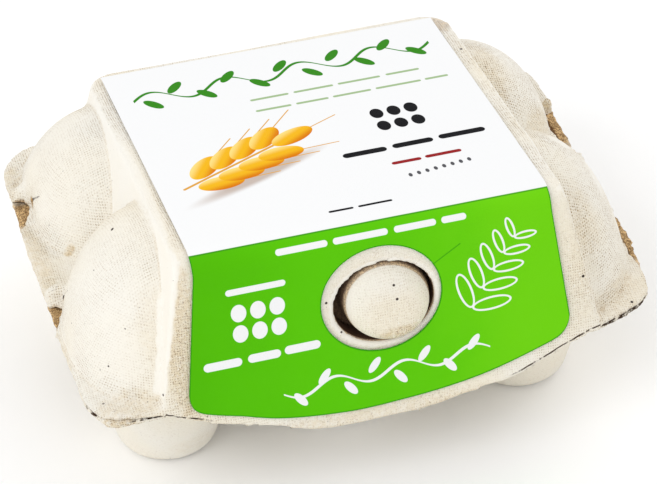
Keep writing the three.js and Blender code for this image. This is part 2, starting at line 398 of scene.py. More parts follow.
bm = bmesh.new()
bmesh.ops.create_cube(bm, size=2.0)
for vertex in bm.verts:
    vertex.co = panel_corner(vertex.co)
round_off(bm, is_back_upright, PANEL_BACK_ROUND)
round_off(bm, is_fold, FOLD_RADIUS)
panel = blank("panel", bm)
print("panel block faces:", len(panel.data.polygons))

# %% [markdown]
# ## The hole and its slot
#
# A real box is held shut by a knob on a flap, pushed through an oval hole in the front wall. The
# hole is a leaning oval plug taken out of the panel block, and a flat board behind it makes the
# slot for the flap.

# %% Oval hole and flap slot
HOLE = {"x": 1.35, "z": 49.65, "half_width": 13.0, "half_height": 10.4}
FLAP_SET_BACK = 6.5
FLAP_THICKNESS = 3.0
FLAP_HALF_WIDTH = 22.0
FLAP_TOP_Z = 65.0
SLOT_CLEARANCE = 0.8


def oval_plug(x, z, half_width, half_height, depth):
    """An oval rod from in front of the front wall to a depth behind it, sheared to its lean."""
    bm = bmesh.new()
    front = -6.0
    squeeze = Matrix.Diagonal((half_width, 1.0, half_height, 1.0))
    lay_back = Matrix.Rotation(math.pi / 2, 4, "X")
    bmesh.ops.create_circle(
        bm, cap_ends=True, segments=64, radius=1.0, matrix=squeeze @ lay_back,
    )
    extrude_by(bm, bm.faces[:], (0, depth - front, 0))
    for vertex in bm.verts:
        height = z + vertex.co.z
        vertex.co = Vector((x + vertex.co.x, vertex.co.y + front + front_wall_y(height), height))
    return blank("oval plug", bm)


def leaning_board(name, front_depth, back_depth, bottom, top, half_width, x):
    """A board parallel to the front wall, between two depths behind it."""
    bm = bmesh.new()
    bmesh.ops.create_cube(bm, size=2.0)
    for vertex in bm.verts:
        height = top if vertex.co.z > 0 else bottom
        depth = back_depth if vertex.co.y > 0 else front_depth
        vertex.co = Vector((x + vertex.co.x * half_width, front_wall_y(height) + depth, height))
    return blank(name, bm)


hole_plug = oval_plug(HOLE["x"], HOLE["z"], HOLE["half_width"], HOLE["half_height"],
                      FLAP_SET_BACK + FLAP_THICKNESS)
slot_board = leaning_board(
    "slot", FLAP_SET_BACK - SLOT_CLEARANCE, FLAP_SET_BACK + FLAP_THICKNESS + SLOT_CLEARANCE,
    LID_RIM[0] - 3.0, FLAP_TOP_Z + SLOT_CLEARANCE, FLAP_HALF_WIDTH + SLOT_CLEARANCE, HOLE["x"],
)
for cutter in (hole_plug, slot_board):
    carve(panel, cutter)
carve(lid_rim, slot_board)
discard(hole_plug, slot_board)
print("panel with hole:", len(panel.data.polygons), "faces")

# %% [markdown]
# ## Domes
#
# Over each corner egg rises a dome, higher in front than at the back. It is half an egg: a UV
# sphere, scaled and cut off level at the rim. Its foot spreads towards the corners of the box,
# because the flange under it is nearly a rectangle.

# %% Domes
# side, centre, radii, and how much the foot widens: along x, along y, at its corners in front
# and at its corners behind
DOMES = (
    (-1, (48.0, -21.5, 31.5), (24.5, 27.5, 34.0), (0.065, 0.13, 0.10, 0.0)),
    (1, (47.9, -21.0, 31.5), (24.1, 27.5, 34.0), (0.02, 0.10, 0.10, 0.06)),
    (-1, (48.6, 31.3, 30.0), (23.6, 25.8, 26.6), (-0.09, 0.0, 0.16, 0.20)),
    (1, (48.6, 31.3, 30.0), (23.6, 25.8, 26.6), (-0.06, 0.0, 0.12, 0.20)),
)


def level_cut(bm, height):
    """Cuts away what lies below a height and closes the cut."""
    geometry = bm.verts[:] + bm.edges[:] + bm.faces[:]
    bmesh.ops.bisect_plane(
        bm, geom=geometry, dist=SAME_SPOT, plane_co=(0, 0, height), plane_no=(0, 0, 1),
        clear_inner=True,
    )
    bmesh.ops.holes_fill(bm, edges=[e for e in bm.edges if e.is_boundary])


def dome(side, centre, radii, widening):
    """Half an egg whose foot spreads towards the corners of the box."""
    along_x, along_y, front_corners, back_corners = widening
    bm = bmesh.new()
    bmesh.ops.create_uvsphere(bm, **BALL_SEGMENTS, radius=1.0)
    for vertex in bm.verts:
        low = (1.0 - abs(vertex.co.z)) ** 2
        diagonal = abs(2.0 * vertex.co.x * vertex.co.y)
        corner = diagonal * (front_corners if vertex.co.y < 0.0 else back_corners)
        vertex.co.x *= 1.0 + low * (along_x + corner)
        vertex.co.y *= 1.0 + low * (along_y + corner)
    spot = Vector((side * centre[0], centre[1], centre[2]))
    place = Matrix.Translation(spot) @ Matrix.Diagonal((*radii, 1.0))
    bmesh.ops.transform(bm, verts=bm.verts, matrix=place)
    level_cut(bm, LID_RIM[0])
    return blank("dome", bm)


domes = [dome(*form) for form in DOMES]
print("domes:", len(domes))

# %% [markdown]
# ## The apron
#
# The middle of the front wall hangs below the rim as a curved apron. Its lower edge isn't a plain
# arc, so it is given as a list of points. A grid is bent to that edge, its lip turns out a
# little, and pushing it back makes it a solid wall.

# %% Apron
APRON_HALF_WIDTH = 57.0
APRON_ROOM_HALF_WIDTH = 51.5
# x and height of points along the lower edge
APRON_EDGE = (
    (-57.0, 31.9), (-54.0, 30.5), (-50.0, 29.2), (-45.0, 27.3), (-40.0, 25.8), (-35.0, 24.7),
    (-30.0, 23.4), (-25.0, 21.8), (-20.0, 20.1), (-15.0, 19.4), (-7.0, 19.1), (3.0, 19.5),
    (9.0, 19.6), (14.0, 20.2), (20.0, 21.5), (26.0, 22.2), (31.0, 22.5), (35.4, 23.8),
    (40.8, 25.8), (46.3, 28.1), (50.3, 29.7), (54.4, 31.0), (57.0, 31.6),
)
WALL_THICKNESS = 2.8
LIP_FLARE = 0.7
LIP_HEIGHT = 7.0


def apron_edge(x):
    """Height of the apron's lower edge, read off the line through the points."""
    x = min(max(x, -APRON_HALF_WIDTH), APRON_HALF_WIDTH)
    for (x0, z0), (x1, z1) in zip(APRON_EDGE, APRON_EDGE[1:]):
        if x <= x1:
            return z0 + (z1 - z0) * (x - x0) / (x1 - x0)


def lip_flare(x, z):
    """How far the apron's lip turns out, close to its lower edge."""
    share = max(0.0, 1.0 - (z - apron_edge(x)) / LIP_HEIGHT)
    return LIP_FLARE * share * share


bm = bmesh.new()
bmesh.ops.create_grid(bm, x_segments=60, y_segments=8, size=1.0)
for vertex in bm.verts:
    x = APRON_HALF_WIDTH * vertex.co.x
    bottom = apron_edge(x) - 0.4
    z = bottom + (LID_RIM[1] + 2.0 - bottom) * (vertex.co.y + 1.0) / 2.0
    vertex.co = Vector((x, front_wall_y(z) - lip_flare(x, z), z))
extrude_by(bm, bm.faces[:], (0, WALL_THICKNESS, 0))
apron = blank("apron", bm)
print("apron's lower edge in the middle:", round(apron_edge(0.0), 1), "mm high")

# %% [markdown]
# ## Tongues at the nicks
#
# Where the rim was nicked, small tongues of pulp curl up beside the domes. A flattened ball that
# is fused into the skin is enough for each.

# %% Tongues at the nicks
# x, y, half length, half width, turn in degrees
TONGUES = (
    (-70.6, 38.5, 4.8, 2.0, -6.0),
    (-71.6, -3.6, 4.2, 2.4, 12.0),
    (74.2, 33.4, 1.7, 1.2, 40.0),
)
TONGUE_HEIGHT = 3.0


def tongue(x, y, half_length, half_width, degrees):
    bm = bmesh.new()
    place = Matrix.Translation((x, y, LID_RIM[1] + 0.2))
    curl = Matrix.Rotation(math.radians(degrees), 4, "Z")
    radii = Matrix.Diagonal((half_length, half_width, TONGUE_HEIGHT, 1.0))
    bmesh.ops.create_icosphere(bm, subdivisions=3, radius=1.0, matrix=place @ curl @ radii)
    return blank("tongue", bm)


tongues = [tongue(*form) for form in TONGUES]
print("tongues:", len(tongues))

# %% [markdown]
# ## The lid in one skin
#
# The blanks are fused. The rim may only be softened a little, or it would shrink, and the
# creases between domes and panel stay rather crisp. A vertex group holds those differences. A
# search tree of each blank tells how near every spot of the skin is to it: where two blanks are
# equally near, there is a crease.

# %% Fuse and soften the lid
LID_VOXEL = 0.8
CREASE_CRISPNESS = 0.55


def from_hole(place):
    """Distance from the hole's oval, as a share of the oval's size."""
    across = (place.x - HOLE["x"]) / HOLE["half_width"]
    up = (place.z - HOLE["z"]) / HOLE["half_height"]
    return math.hypot(across, up) - 1.0


def skin_of(*objects):
    """A search tree over the faces of some blanks."""
    bm = bmesh.new()
    for obj in objects:
        bm.from_mesh(obj.data)
    tree = BVHTree.FromBMesh(bm)
    bm.free()
    return tree


LID_SKINS = {
    "front domes": skin_of(*domes[:2]), "back domes": skin_of(*domes[2:]),
    "panel": skin_of(panel), "rim": skin_of(lid_rim),
}


def distances(place):
    """How far a place is from each of the lid's blanks."""
    return {name: skin.find_nearest(place)[3] for name, skin in LID_SKINS.items()}


def from_crease(place):
    """About how far a place is from the nearest line where two blanks meet."""
    return sorted(distances(place).values())[1]


def lid_softness(place):
    above = ramp(place.z, LID_RIM[1] + 0.3, LID_RIM[1] + 2.4)
    in_apron = 0.7 * ramp(LID_RIM[0] - place.z, 1.0, 2.5)
    crisp = CREASE_CRISPNESS * ramp(from_crease(place), 2.0, 0.7)
    return max(above, in_apron) * (1.0 - crisp)


def true_hole(obj):
    """Pulls the hole's wall onto its oval, because the voxels left steps in it."""
    for vertex in obj.data.vertices:
        x, y, z = vertex.co
        depth = y - front_wall_y(z)
        off = from_hole(vertex.co)
        pull = ramp(depth, 0.2, 1.1) * ramp(depth, FLAP_SET_BACK, FLAP_SET_BACK - 1.0)
        pull *= ramp(abs(off), 0.16, 0.09)
        share = 1.0 - pull * off / (1.0 + off)
        x = HOLE["x"] + share * (x - HOLE["x"])
        z = HOLE["z"] + share * (z - HOLE["z"])
        vertex.co = Vector((x, front_wall_y(z) + depth, z))


def true_edge(obj):
    """Draws the underside of the apron to its smooth edge, which the voxels stepped."""
    facing_down = [-vertex.normal.z for vertex in obj.data.vertices]
    for vertex, down in zip(obj.data.vertices, facing_down):
        x, y, z = vertex.co
        pull = ramp(down, 0.2, 0.7) * ramp(abs(x), 51.0, 46.0)
        pull *= ramp(abs(y - front_wall_y(z)), 5.0, 4.0) * ramp(abs(z - apron_edge(x)), 1.6, 1.1)
        vertex.co.z += pull * (apron_edge(x) - z)


lid = fuse("pulp_lid", [lid_rim, panel, apron, *domes, *tongues], LID_VOXEL)
soften(lid, 2)
above_rim = weigh(lid, "above rim", lid_softness)
soften(lid, 5, above_rim)
true_hole(lid)
true_edge(lid)
print("lid:", len(lid.data.polygons), "faces")

# %% [markdown]
# ## What the wire left unmarked
#
# Wet pulp is sucked on to a wire mesh, which marks most of the skin. The panel's side walls, the
# hole's edge and a band beside the left front dome come off smooth and pale. Both that mask and
# the distance from the nearest crease are kept as vertex attributes for the material.

# %% Measure the lid's creases and smooth bands
STRIP_SMOOTHNESS = 0.5
# the smooth band between the front wall and the left dome: its x at a height, and its lean
CORNER_BAND_X = -52.4
CORNER_BAND_Z = 58.0
CORNER_BAND_LEAN = 0.22


def smooth_band(place, normal):
    """1 where the wire left no mark, 0 where it marked the skin fully."""
    reach = distances(place)
    nearest_dome = min(reach["front domes"], reach["back domes"])
    wall = PANEL_HALF_WIDTH + PANEL_SIDE_LEAN * (top_height(place.y) - place.z)
    beside = ramp(abs(abs(place.x) - wall), 2.6, 1.6) * ramp(normal.y, -0.9, -0.35)
    beside *= ramp(normal.z, 0.98, 0.9)
    beside *= ramp(nearest_dome - reach["panel"], -0.1, 0.5)
    beside *= ramp(place.z, LID_RIM[1] + 1.0, LID_RIM[1] + 4.0)
    in_front = ramp(FOLD_Y + 8.0 - place.y, 0.0, 4.0)
    wander = 0.5 * noise.noise(place / 3.0)
    off_band = abs(place.x - CORNER_BAND_X + CORNER_BAND_LEAN * (CORNER_BAND_Z - place.z) + wander)
    corner_band = in_front * ramp(off_band, 1.9, 0.6) * ramp(place.z, 33.5, 36.5)
    at_hole = in_front * ramp(abs(from_hole(place) - 0.02), 0.13, 0.08)
    strip = STRIP_SMOOTHNESS * in_front * ramp(abs(normal.x), 0.5, 0.3)
    return max(beside, corner_band, at_hole, strip)


keep(lid, "fold", [from_crease(v.co) for v in lid.data.vertices])
keep(lid, "unmarked", [smooth_band(v.co, v.normal) for v in lid.data.vertices])
print("measured", len(lid.data.vertices), "vertices of the lid")

# %% [markdown]
# ## Unevenness
#
# Slow noise pushes the skin in and out by fractions of a millimetre, as drying does. A quicker
# noise frays the rim, most of all in the tears, and both rims wander up and down together.

# %% Unevenness of dried pulp
WARP = 0.25
WARP_WAVES = 24.0
FRAY = 0.28
TORN_FRAY = 0.9
LABEL_FLAT = 0.12
BENT_CORNER = (-60.0, -55.0)
RIM_WAVES = 31.0
COARSE_FRAY, FINE_FRAY = 2.3, 1.1


def rim_wave(x, y):
    """Height by which both rims wander together round the box."""
    away = max(abs(x) / RIM_HALF.x, abs(y) / RIM_HALF.y)
    wave = 0.9 * noise.noise(Vector((x / RIM_WAVES, y / RIM_WAVES, 4.0))) - 0.1
    bent_up = 0.7 * ramp(math.dist((x, y), BENT_CORNER), 14.0, 3.0)
    return ramp(away, 0.7, 1.0) * wave + bent_up


def torn(place):
    """1 in the tears of the rim, 0 away from them."""
    nearest = min(
        math.dist((place.x, place.y), point) for tear in RIM_TEARS for point in tear[1:-1]
    )
    return ramp(nearest, 5.0, 1.5)


def on_label(place):
    """1 where the label lies on the lid, 0 away from it."""
    inside = ramp(47.5 - abs(place.x), 0.0, 1.5) * ramp(LABEL_BACK_Y + 1.0 - place.y, 0.0, 1.5)
    near_top = ramp(place.z - top_height(place.y), -2.0, -1.0)
    near_front = ramp(place.y - front_wall_y(place.z), 2.0, 1.0) * ramp(place.z, 21.5, 23.0)
    return inside * max(near_top, near_front)


def uneven(obj, rim):
    """Warps a skin, frays its rim and keeps each vertex's height before that."""
    keep(obj, "rest", [v.co.z for v in obj.data.vertices])
    normals = [v.normal.copy() for v in obj.data.vertices]
    for vertex, normal in zip(obj.data.vertices, normals):
        place = vertex.co.copy()
        push = WARP * noise.noise(place / WARP_WAVES)
        vertex.co += normal * push * (1.0 - on_label(place) * (1.0 - LABEL_FLAT))
        near_rim = 1.0 - ramp(abs(place.z - (rim[0] + rim[1]) / 2.0), 1.2, 3.0)
        reach = FRAY + (TORN_FRAY - FRAY) * torn(place)
        fray = noise.noise(place / COARSE_FRAY) + 0.6 * noise.noise(place / FINE_FRAY)
        vertex.co += Vector((normal.x, normal.y, 0.3 * normal.z)) * fray * reach * near_rim
        vertex.co.z += rim_wave(place.x, place.y) * near_rim
    obj.data.update()


uneven(lid, LID_RIM)
print("lid height after drying:", round(max(v.co.z for v in lid.data.vertices), 2), "mm")

# %% [markdown]
# ## The tray's cups
#
# Six cups carry the eggs and stand on small flat feet. A cup is round, so its outline is enough:
# a rounded foot, a waist and a wide mouth are spun about the upright axis.

# %% Cups
CUPS_X = -2.6
CUP_PITCH = 47.6
CUP_ROWS = (-27.4, 25.5)
CUP_FOOT_RADIUS = 13.6
CUP_FOOT_ROUND = 4.0
FOOT_STEPS = 8
CUP_STEPS = 48
CUP_WAIST = (17.4, 21.0)
CUP_MOUTH_RADIUS = 22.0
RIM_MIDDLE = sum(TRAY_RIM) / 2.0


def cup(x, y):
    outline = [(0.0, 0.0)]
    for i in range(FOOT_STEPS + 1):
        angle = math.pi / 2.0 * i / FOOT_STEPS
        outline.append((
            CUP_FOOT_RADIUS - CUP_FOOT_ROUND * (1.0 - math.sin(angle)),
            CUP_FOOT_ROUND * (1.0 - math.cos(angle)),
        ))
    outline += [CUP_WAIST, (CUP_MOUTH_RADIUS, RIM_MIDDLE), (0.0, RIM_MIDDLE)]
    bm = bmesh.new()
    points = [bm.verts.new((x + r, y, z)) for r, z in outline]
    edges = [bm.edges.new(pair) for pair in zip(points, points[1:])]
    bmesh.ops.spin(
        bm, geom=points + edges, cent=(x, y, 0), axis=(0, 0, 1), angle=2.0 * math.pi,
        steps=CUP_STEPS, use_merge=True,
    )
    return blank("cup", bm)


columns = [CUPS_X + CUP_PITCH * i for i in (-1, 0, 1)]
cups = [cup(x, y) for x in columns for y in CUP_ROWS]
print("cups:", len(cups))

# %% [markdown]
# ## Webs
#
# Under the rim the cups are joined by low webs, which stiffen the tray. Plain blocks do, because
# fusing rounds all their edges.

# %% Webs between the cups
WEB_HALF_WIDTH = 5.0
WEB_BOTTOM_Z = 17.0


def web(low_x, low_y, high_x, high_y):
    """A block between two corners of its ground plan, from WEB_BOTTOM_Z to the rim."""
    low = Vector((low_x, low_y, WEB_BOTTOM_Z))
    high = Vector((high_x, high_y, RIM_MIDDLE))
    bm = bmesh.new()
    place = Matrix.Translation((high + low) / 2.0) @ Matrix.Diagonal((*(high - low), 1.0))
    bmesh.ops.create_cube(bm, size=1.0)
    bmesh.ops.transform(bm, verts=bm.verts, matrix=place)
    return blank("web", bm)


webs = [
    web(columns[0], y - WEB_HALF_WIDTH, columns[-1], y + WEB_HALF_WIDTH) for y in CUP_ROWS
] + [
    web(x - WEB_HALF_WIDTH, CUP_ROWS[0], x + WEB_HALF_WIDTH, CUP_ROWS[1]) for x in columns
]
print("webs:", len(webs))

# %% [markdown]
# ## Flap and knob
#
# The flap is a leaning board behind the front wall. Its knob is a ball made squarish by a power
# curve (a superellipse), because pressed pulp fills its mould to the corners. A piece of the
# tray's rim is taken away where the lid's apron hangs over it.

# %% Flap and knob
KNOB = {"x": 2.1, "z": 49.6, "half_width": 11.45, "half_height": 10.35}
KNOB_PROUD = 3.8
KNOB_SQUARENESS = 3.4
KNOB_TWIST = 0.08


def knob_solid():
    """A dome whose side view is squarish, sheared so that its face leans like the front wall."""
    bm = bmesh.new()
    bmesh.ops.create_uvsphere(bm, **BALL_SEGMENTS, radius=1.0)
    depth = FLAP_SET_BACK + KNOB_PROUD
    for vertex in bm.verts:
        rise = abs(vertex.co.z)
        reach = math.sqrt(max(0.0, 1.0 - rise * rise))
        fuller = math.copysign(rise ** (2.0 / KNOB_SQUARENESS), vertex.co.z)
        spread = reach ** (2.0 / KNOB_SQUARENESS) / max(reach, 1e-6)
        x = vertex.co.x * spread * KNOB["half_width"]
        z = vertex.co.y * spread * KNOB["half_height"]
        x -= KNOB_TWIST * z
        forward = max(fuller, -0.1) * depth
        height = KNOB["z"] + z
        vertex.co = Vector((KNOB["x"] + x, front_wall_y(height) + FLAP_SET_BACK - forward, height))
    return blank("knob", bm)


knob = knob_solid()
flap = leaning_board(
    "flap", FLAP_SET_BACK, FLAP_SET_BACK + FLAP_THICKNESS, TRAY_RIM[0] + 0.5, FLAP_TOP_Z,
    FLAP_HALF_WIDTH, HOLE["x"],
)
tray_rim = rim_slab("tray rim", TRAY_RIM_CORNERS, *TRAY_RIM)
apron_room = leaning_board(
    "apron room", -WALL_THICKNESS, WALL_THICKNESS + 0.3, TRAY_RIM[0] - 1.0, TRAY_RIM[1] + 1.0,
    APRON_ROOM_HALF_WIDTH, 0.0,
)
carve(tray_rim, apron_room)
discard(apron_room)
print("knob and flap:", len(knob.data.polygons), "and", len(flap.data.polygons), "faces")

# %% [markdown]
# ## The tray in one skin
#
# The tray is made like the lid: fused, softened below its rim and warped. At last the feet are
# pressed flat on the floor.

# %% Fuse and soften the tray
TRAY_VOXEL = 0.84
tray = fuse("pulp_tray", [tray_rim, *cups, *webs, flap, knob], TRAY_VOXEL)
soften(tray, 2)


def tray_softness(place):
    below_rim = 1.0 - ramp(place.z, TRAY_RIM[0] - 2.5, TRAY_RIM[0] - 0.3)
    above_floor = ramp(place.z, 0.3, 2.0)
    return below_rim * above_floor


below_rim = weigh(tray, "below rim", tray_softness)
soften(tray, 14, below_rim)
uneven(tray, TRAY_RIM)
for vertex in tray.data.vertices:
    vertex.co.z = max(vertex.co.z, 0.0)
print("tray:", len(tray.data.polygons), "faces")

# %% [markdown]
# ## What the finish needs to know of the shape
#
# Inner corners turn brown: partly dirt and liner fibres that gather there, partly painted shade.
# How hollow a spot is can be measured: a strongly smoothed copy of the skin rises above the true
# one in a hollow and sinks below it on a ridge. A second measure is how far a spot is above the
# lid's lower edge, or below the tray's top edge, because the shadow in the seam between the two
# is painted dark. Both are kept as vertex attributes.

# %% Measure hollows and the seam
HOLLOW_ROUNDS = 40
FAR_FROM_CREASE = 9.0


def mark_hollows(obj):
    copy = obj.copy()
    copy.data = obj.data.copy()
    bpy.context.scene.collection.objects.link(copy)
    soften(copy, HOLLOW_ROUNDS)
    depths = [
        (smooth.co - vertex.co).dot(vertex.normal)
        for vertex, smooth in zip(obj.data.vertices, copy.data.vertices)
    ]
    discard(copy)
    keep(obj, "hollow", depths)
    print(obj.name, "deepest hollow:", round(max(depths), 2), "mm")


def above_lid_edge(place, rest):
    in_apron = abs(place.x) < APRON_HALF_WIDTH and place.y < front_wall_y(place.z) + 3.0
    return place.z - apron_edge(place.x) - 0.4 if in_apron else rest - LID_RIM[0]


def below_tray_edge(place, rest):
    return TRAY_RIM[1] - rest


def mark_seam(obj, distance):
    rests = [item.value for item in obj.data.attributes["rest"].data]
    keep(obj, "seam", [distance(v.co, rest) for v, rest in zip(obj.data.vertices, rests)])


def to_metres(obj):
    obj.data.transform(Matrix.Scale(MM, 4))
    obj.data.shade_smooth()
    obj.data.update()


def tray_smoothness(place):
    """The wire marked the cups only a little, and the knob less than the tray's rim."""
    on_cups = 0.72 * ramp(place.z, TRAY_RIM[0] - 1.0, TRAY_RIM[0] - 5.0)
    on_knob = 0.32 * ramp(place.z, LID_RIM[1] + 4.0, LID_RIM[1] + 6.0)
    return max(on_cups, on_knob)


keep(tray, "fold", [FAR_FROM_CREASE] * len(tray.data.vertices))
keep(tray, "unmarked", [tray_smoothness(v.co) for v in tray.data.vertices])
for pulp, distance in ((lid, above_lid_edge), (tray, below_tray_edge)):
    mark_hollows(pulp)
    mark_seam(pulp, distance)
    to_metres(pulp)

# %% [markdown]
# ## The label
#
# The label is one sheet of paper. Its flat cut is drawn first: u runs across, v runs along,
# and v is zero where the top meets the fold. The cut has round lower corners, a sagging lower
# edge and an oval window, and it is filled with triangles. The paper's bend over the fold turns
# by a right angle, a little more for the sloping top and less for the leaning front.

# %% Label cut
LABEL_LIFT = 0.5
LABEL_PAPER = 0.22
LABEL_TOP_V = 91.0
LABEL_HALF_WIDTH = {-1: 46.1, 1: 45.7}
LABEL_SIDE_LEAN = {-1: 0.13, 1: 0.105}
LABEL_LOWEST_V = -53.0
# points of the cut's lower edge and its two corners, from left to right
LOWER_CUT = (
    (-50.2, -39.6), (-50.05, -41.5), (-49.5, -43.1), (-48.5, -44.3), (-47.0, -45.2),
    (-44.7, -46.0), (-41.2, -47.0), (-37.4, -48.0), (-33.7, -49.2), (-29.9, -50.3),
    (-26.1, -51.1), (-22.3, -51.7), (-17.2, -52.3), (-10.7, -52.8), (-6.8, -52.9),
    (-1.6, -52.8), (3.7, -52.5), (9.0, -52.2), (14.2, -51.7), (19.6, -51.0), (24.9, -50.1),
    (30.2, -48.9), (35.6, -47.4), (39.7, -46.1), (43.7, -44.8), (45.9, -43.8), (47.4, -42.4),
    (48.4, -40.6), (48.9, -38.5),
)
WINDOW = {"u": 0.4, "v": -23.4, "half_width": 15.5, "half_height": 14.1}
WINDOW_CORNERS = 72
FOLD_SLOPE, FOLD_LEAN = math.atan(TOP_SLOPE), math.atan(FRONT_LEAN)
FOLD_TURN = math.pi / 2.0 + FOLD_SLOPE - FOLD_LEAN
# smoothing made the pulp's fold rounder than its bevel by this much
FOLD_FULLNESS = 0.6
BEND_LENGTH = (FOLD_RADIUS + LABEL_LIFT + FOLD_FULLNESS) * FOLD_TURN


def side_u(side, v):
    """Where the sheet's left (-1) or right (1) edge is at v."""
    widening = LABEL_SIDE_LEAN[side] * max(0.0, -v - BEND_LENGTH)
    return side * (LABEL_HALF_WIDTH[side] + widening)


def eased(points, steps):
    """A smooth line through the points, with so many steps between each two."""
    line = []
    last = len(points) - 1
    for i in range(last):
        before, start, end, after = (
            Vector(points[min(max(i + shift, 0), last)]) for shift in (-1, 0, 1, 2)
        )
        for step in range(steps):
            t = step / steps
            bend = (2.0 * before - 5.0 * start + 4.0 * end - after) * t * t
            twist = (3.0 * start - before - 3.0 * end + after) * t * t * t
            line.append(tuple(start + 0.5 * ((end - before) * t + bend + twist)))
    return line + [points[last]]


def label_outline():
    """The outer cut, counter-clockwise from the top left."""
    left = [(side_u(-1, v), v) for v in (LABEL_TOP_V, -BEND_LENGTH)]
    right = [(side_u(1, v), v) for v in (-BEND_LENGTH, LABEL_TOP_V)]
    return left + eased(LOWER_CUT, 3) + right


def closed_loop(bm, points):
    verts = [bm.verts.new((u, v, 0.0)) for u, v in points]
    return [bm.edges.new((a, b)) for a, b in zip(verts, verts[1:] + verts[:1])]


turns = [2.0 * math.pi * i / WINDOW_CORNERS for i in range(WINDOW_CORNERS)]
window = [
    (WINDOW["u"] + WINDOW["half_width"] * math.cos(turn),
     WINDOW["v"] + WINDOW["half_height"] * math.sin(turn))
    for turn in turns
]
sheet = bmesh.new()
cut = closed_loop(sheet, label_outline()) + closed_loop(sheet, window)
bmesh.ops.triangle_fill(sheet, edges=cut, use_beauty=True, use_dissolve=False)
print("flat label:", len(sheet.faces), "triangles")

# %% [markdown]
# ## Folding the sheet
#
# The flat sheet is sliced into short strips, so that it can bend. Its flat shape is kept as a UV
# map, which the print needs. Then each point is laid on the top, round the fold or down the front,
# and a Solidify modifier gives the paper its thickness.

# %% Slice, lay and thicken the label
UV_PER_MM = 0.01
BEND_SLICES = 12
SHEET_PITCH = 4.0
SLICES_ASIDE = 12
RIPPLE = 0.05
RIPPLE_WAVES = 9.0
PAPER_CORNER = math.radians(40.0)


def slice_sheet(bm, place, normal):
    bmesh.ops.bisect_plane(
        bm, geom=bm.verts[:] + bm.edges[:] + bm.faces[:], dist=SAME_SPOT, plane_co=place,
        plane_no=normal,
    )


def laid(u, v, lift):
    """The place on the box of a point of the flat sheet, at a height above the pulp."""
    radius = FOLD_RADIUS + FOLD_FULLNESS
    tangent = radius * math.tan(FOLD_TURN / 2.0)
    corner = Vector((0.0, FOLD_Y, FOLD_Z))
    back = Vector((0.0, math.cos(FOLD_SLOPE), -math.sin(FOLD_SLOPE)))
    up = Vector((0.0, math.sin(FOLD_SLOPE), math.cos(FOLD_SLOPE)))
    down = Vector((0.0, -math.sin(FOLD_LEAN), -math.cos(FOLD_LEAN)))
    out = Vector((0.0, -math.cos(FOLD_LEAN), math.sin(FOLD_LEAN)))
    start = corner + back * tangent
    centre = start - up * radius
    if v >= 0.0:
        place = start + back * v + up * lift
    elif v >= -BEND_LENGTH:
        angle = -v / BEND_LENGTH * FOLD_TURN
        place = centre + (up * math.cos(angle) - back * math.sin(angle)) * (radius + lift)
    else:
        place = corner + down * (tangent - v - BEND_LENGTH) + out * lift
    return Vector((u, place.y, place.z))


for i in range(BEND_SLICES + 1):
    slice_sheet(sheet, (0, -BEND_LENGTH * i / BEND_SLICES, 0), (0, 1, 0))
for i in range(1, int((LABEL_TOP_V - LABEL_LOWEST_V) / SHEET_PITCH)):
    slice_sheet(sheet, (0, LABEL_LOWEST_V + i * SHEET_PITCH, 0), (0, 1, 0))
for i in range(-SLICES_ASIDE, SLICES_ASIDE + 1):
    slice_sheet(sheet, (i * SHEET_PITCH, 0, 0), (1, 0, 0))
uv = sheet.loops.layers.uv.new("flat cut")
for face in sheet.faces:
    for loop in face.loops:
        loop[uv].uv = (loop.vert.co.x * UV_PER_MM, loop.vert.co.y * UV_PER_MM)
for vertex in sheet.verts:
    ripple = RIPPLE * noise.noise(vertex.co / RIPPLE_WAVES)
    vertex.co = laid(vertex.co.x, vertex.co.y, LABEL_LIFT + ripple)
sheet.normal_update()
label = object_from("paper_label", sheet)
thicken = label.modifiers.new("paper", "SOLIDIFY")
thicken.thickness = LABEL_PAPER
thicken.offset = -1.0
settle(label)
to_metres(label)
label.data.set_sharp_from_angle(angle=PAPER_CORNER)
print("label:", len(label.data.polygons), "faces")

# %% [markdown]
# ## Formulas made of nodes
#
# A shader node for every multiplication makes long code. Here an output socket is wrapped in a
# small class, and arithmetic on it adds the maths nodes, so a mask reads as a formula. A node
# group is made from a plain function: the line above it names the group's outputs and inputs,
# and the function is its formula. Lid and tray are the same stuff, so they share groups.

# %% Node helpers
SOCKET_KINDS = {"vector": "NodeSocketVector", "colour": "NodeSocketColor"}
GIVES_NUMBER = ("DOT_PRODUCT", "LENGTH", "DISTANCE")


class Signal:
    """An output socket in a node tree. Arithmetic on it adds maths nodes."""

    def __init__(self, tree, socket):
        self.tree = tree
        self.socket = socket

    def __add__(self, other):
        return calc("ADD", self, other)

    def __sub__(self, other):
        return calc("SUBTRACT", self, other)

    def __rsub__(self, other):
        return calc("SUBTRACT", other, self)

    def __mul__(self, other):
        return calc("MULTIPLY", self, other)

    def __truediv__(self, other):
        return calc("DIVIDE", self, other)

    def __rtruediv__(self, other):
        return calc("DIVIDE", other, self)

    def __abs__(self):
        return calc("ABSOLUTE", self)


def tree_of(values):
    return next(value.tree for value in values if isinstance(value, Signal))


def plug(socket, value):
    """Joins a signal to an input socket, or sets a plain value on it."""
    if isinstance(value, Signal):
        value.tree.links.new(value.socket, socket)
    else:
        socket.default_value = value


def node(tree, kind, inputs, *outputs, **settings):
    """Adds a node with its settings, feeds its inputs and returns the outputs asked for."""
    made = tree.nodes.new("ShaderNode" + kind)
    for name, value in settings.items():
        setattr(made, name, value)
    for key, value in inputs.items():
        plug(made.inputs[key], value)
    signals = [Signal(tree, made.outputs[name]) for name in outputs]
    return signals if len(signals) > 1 else signals[0]


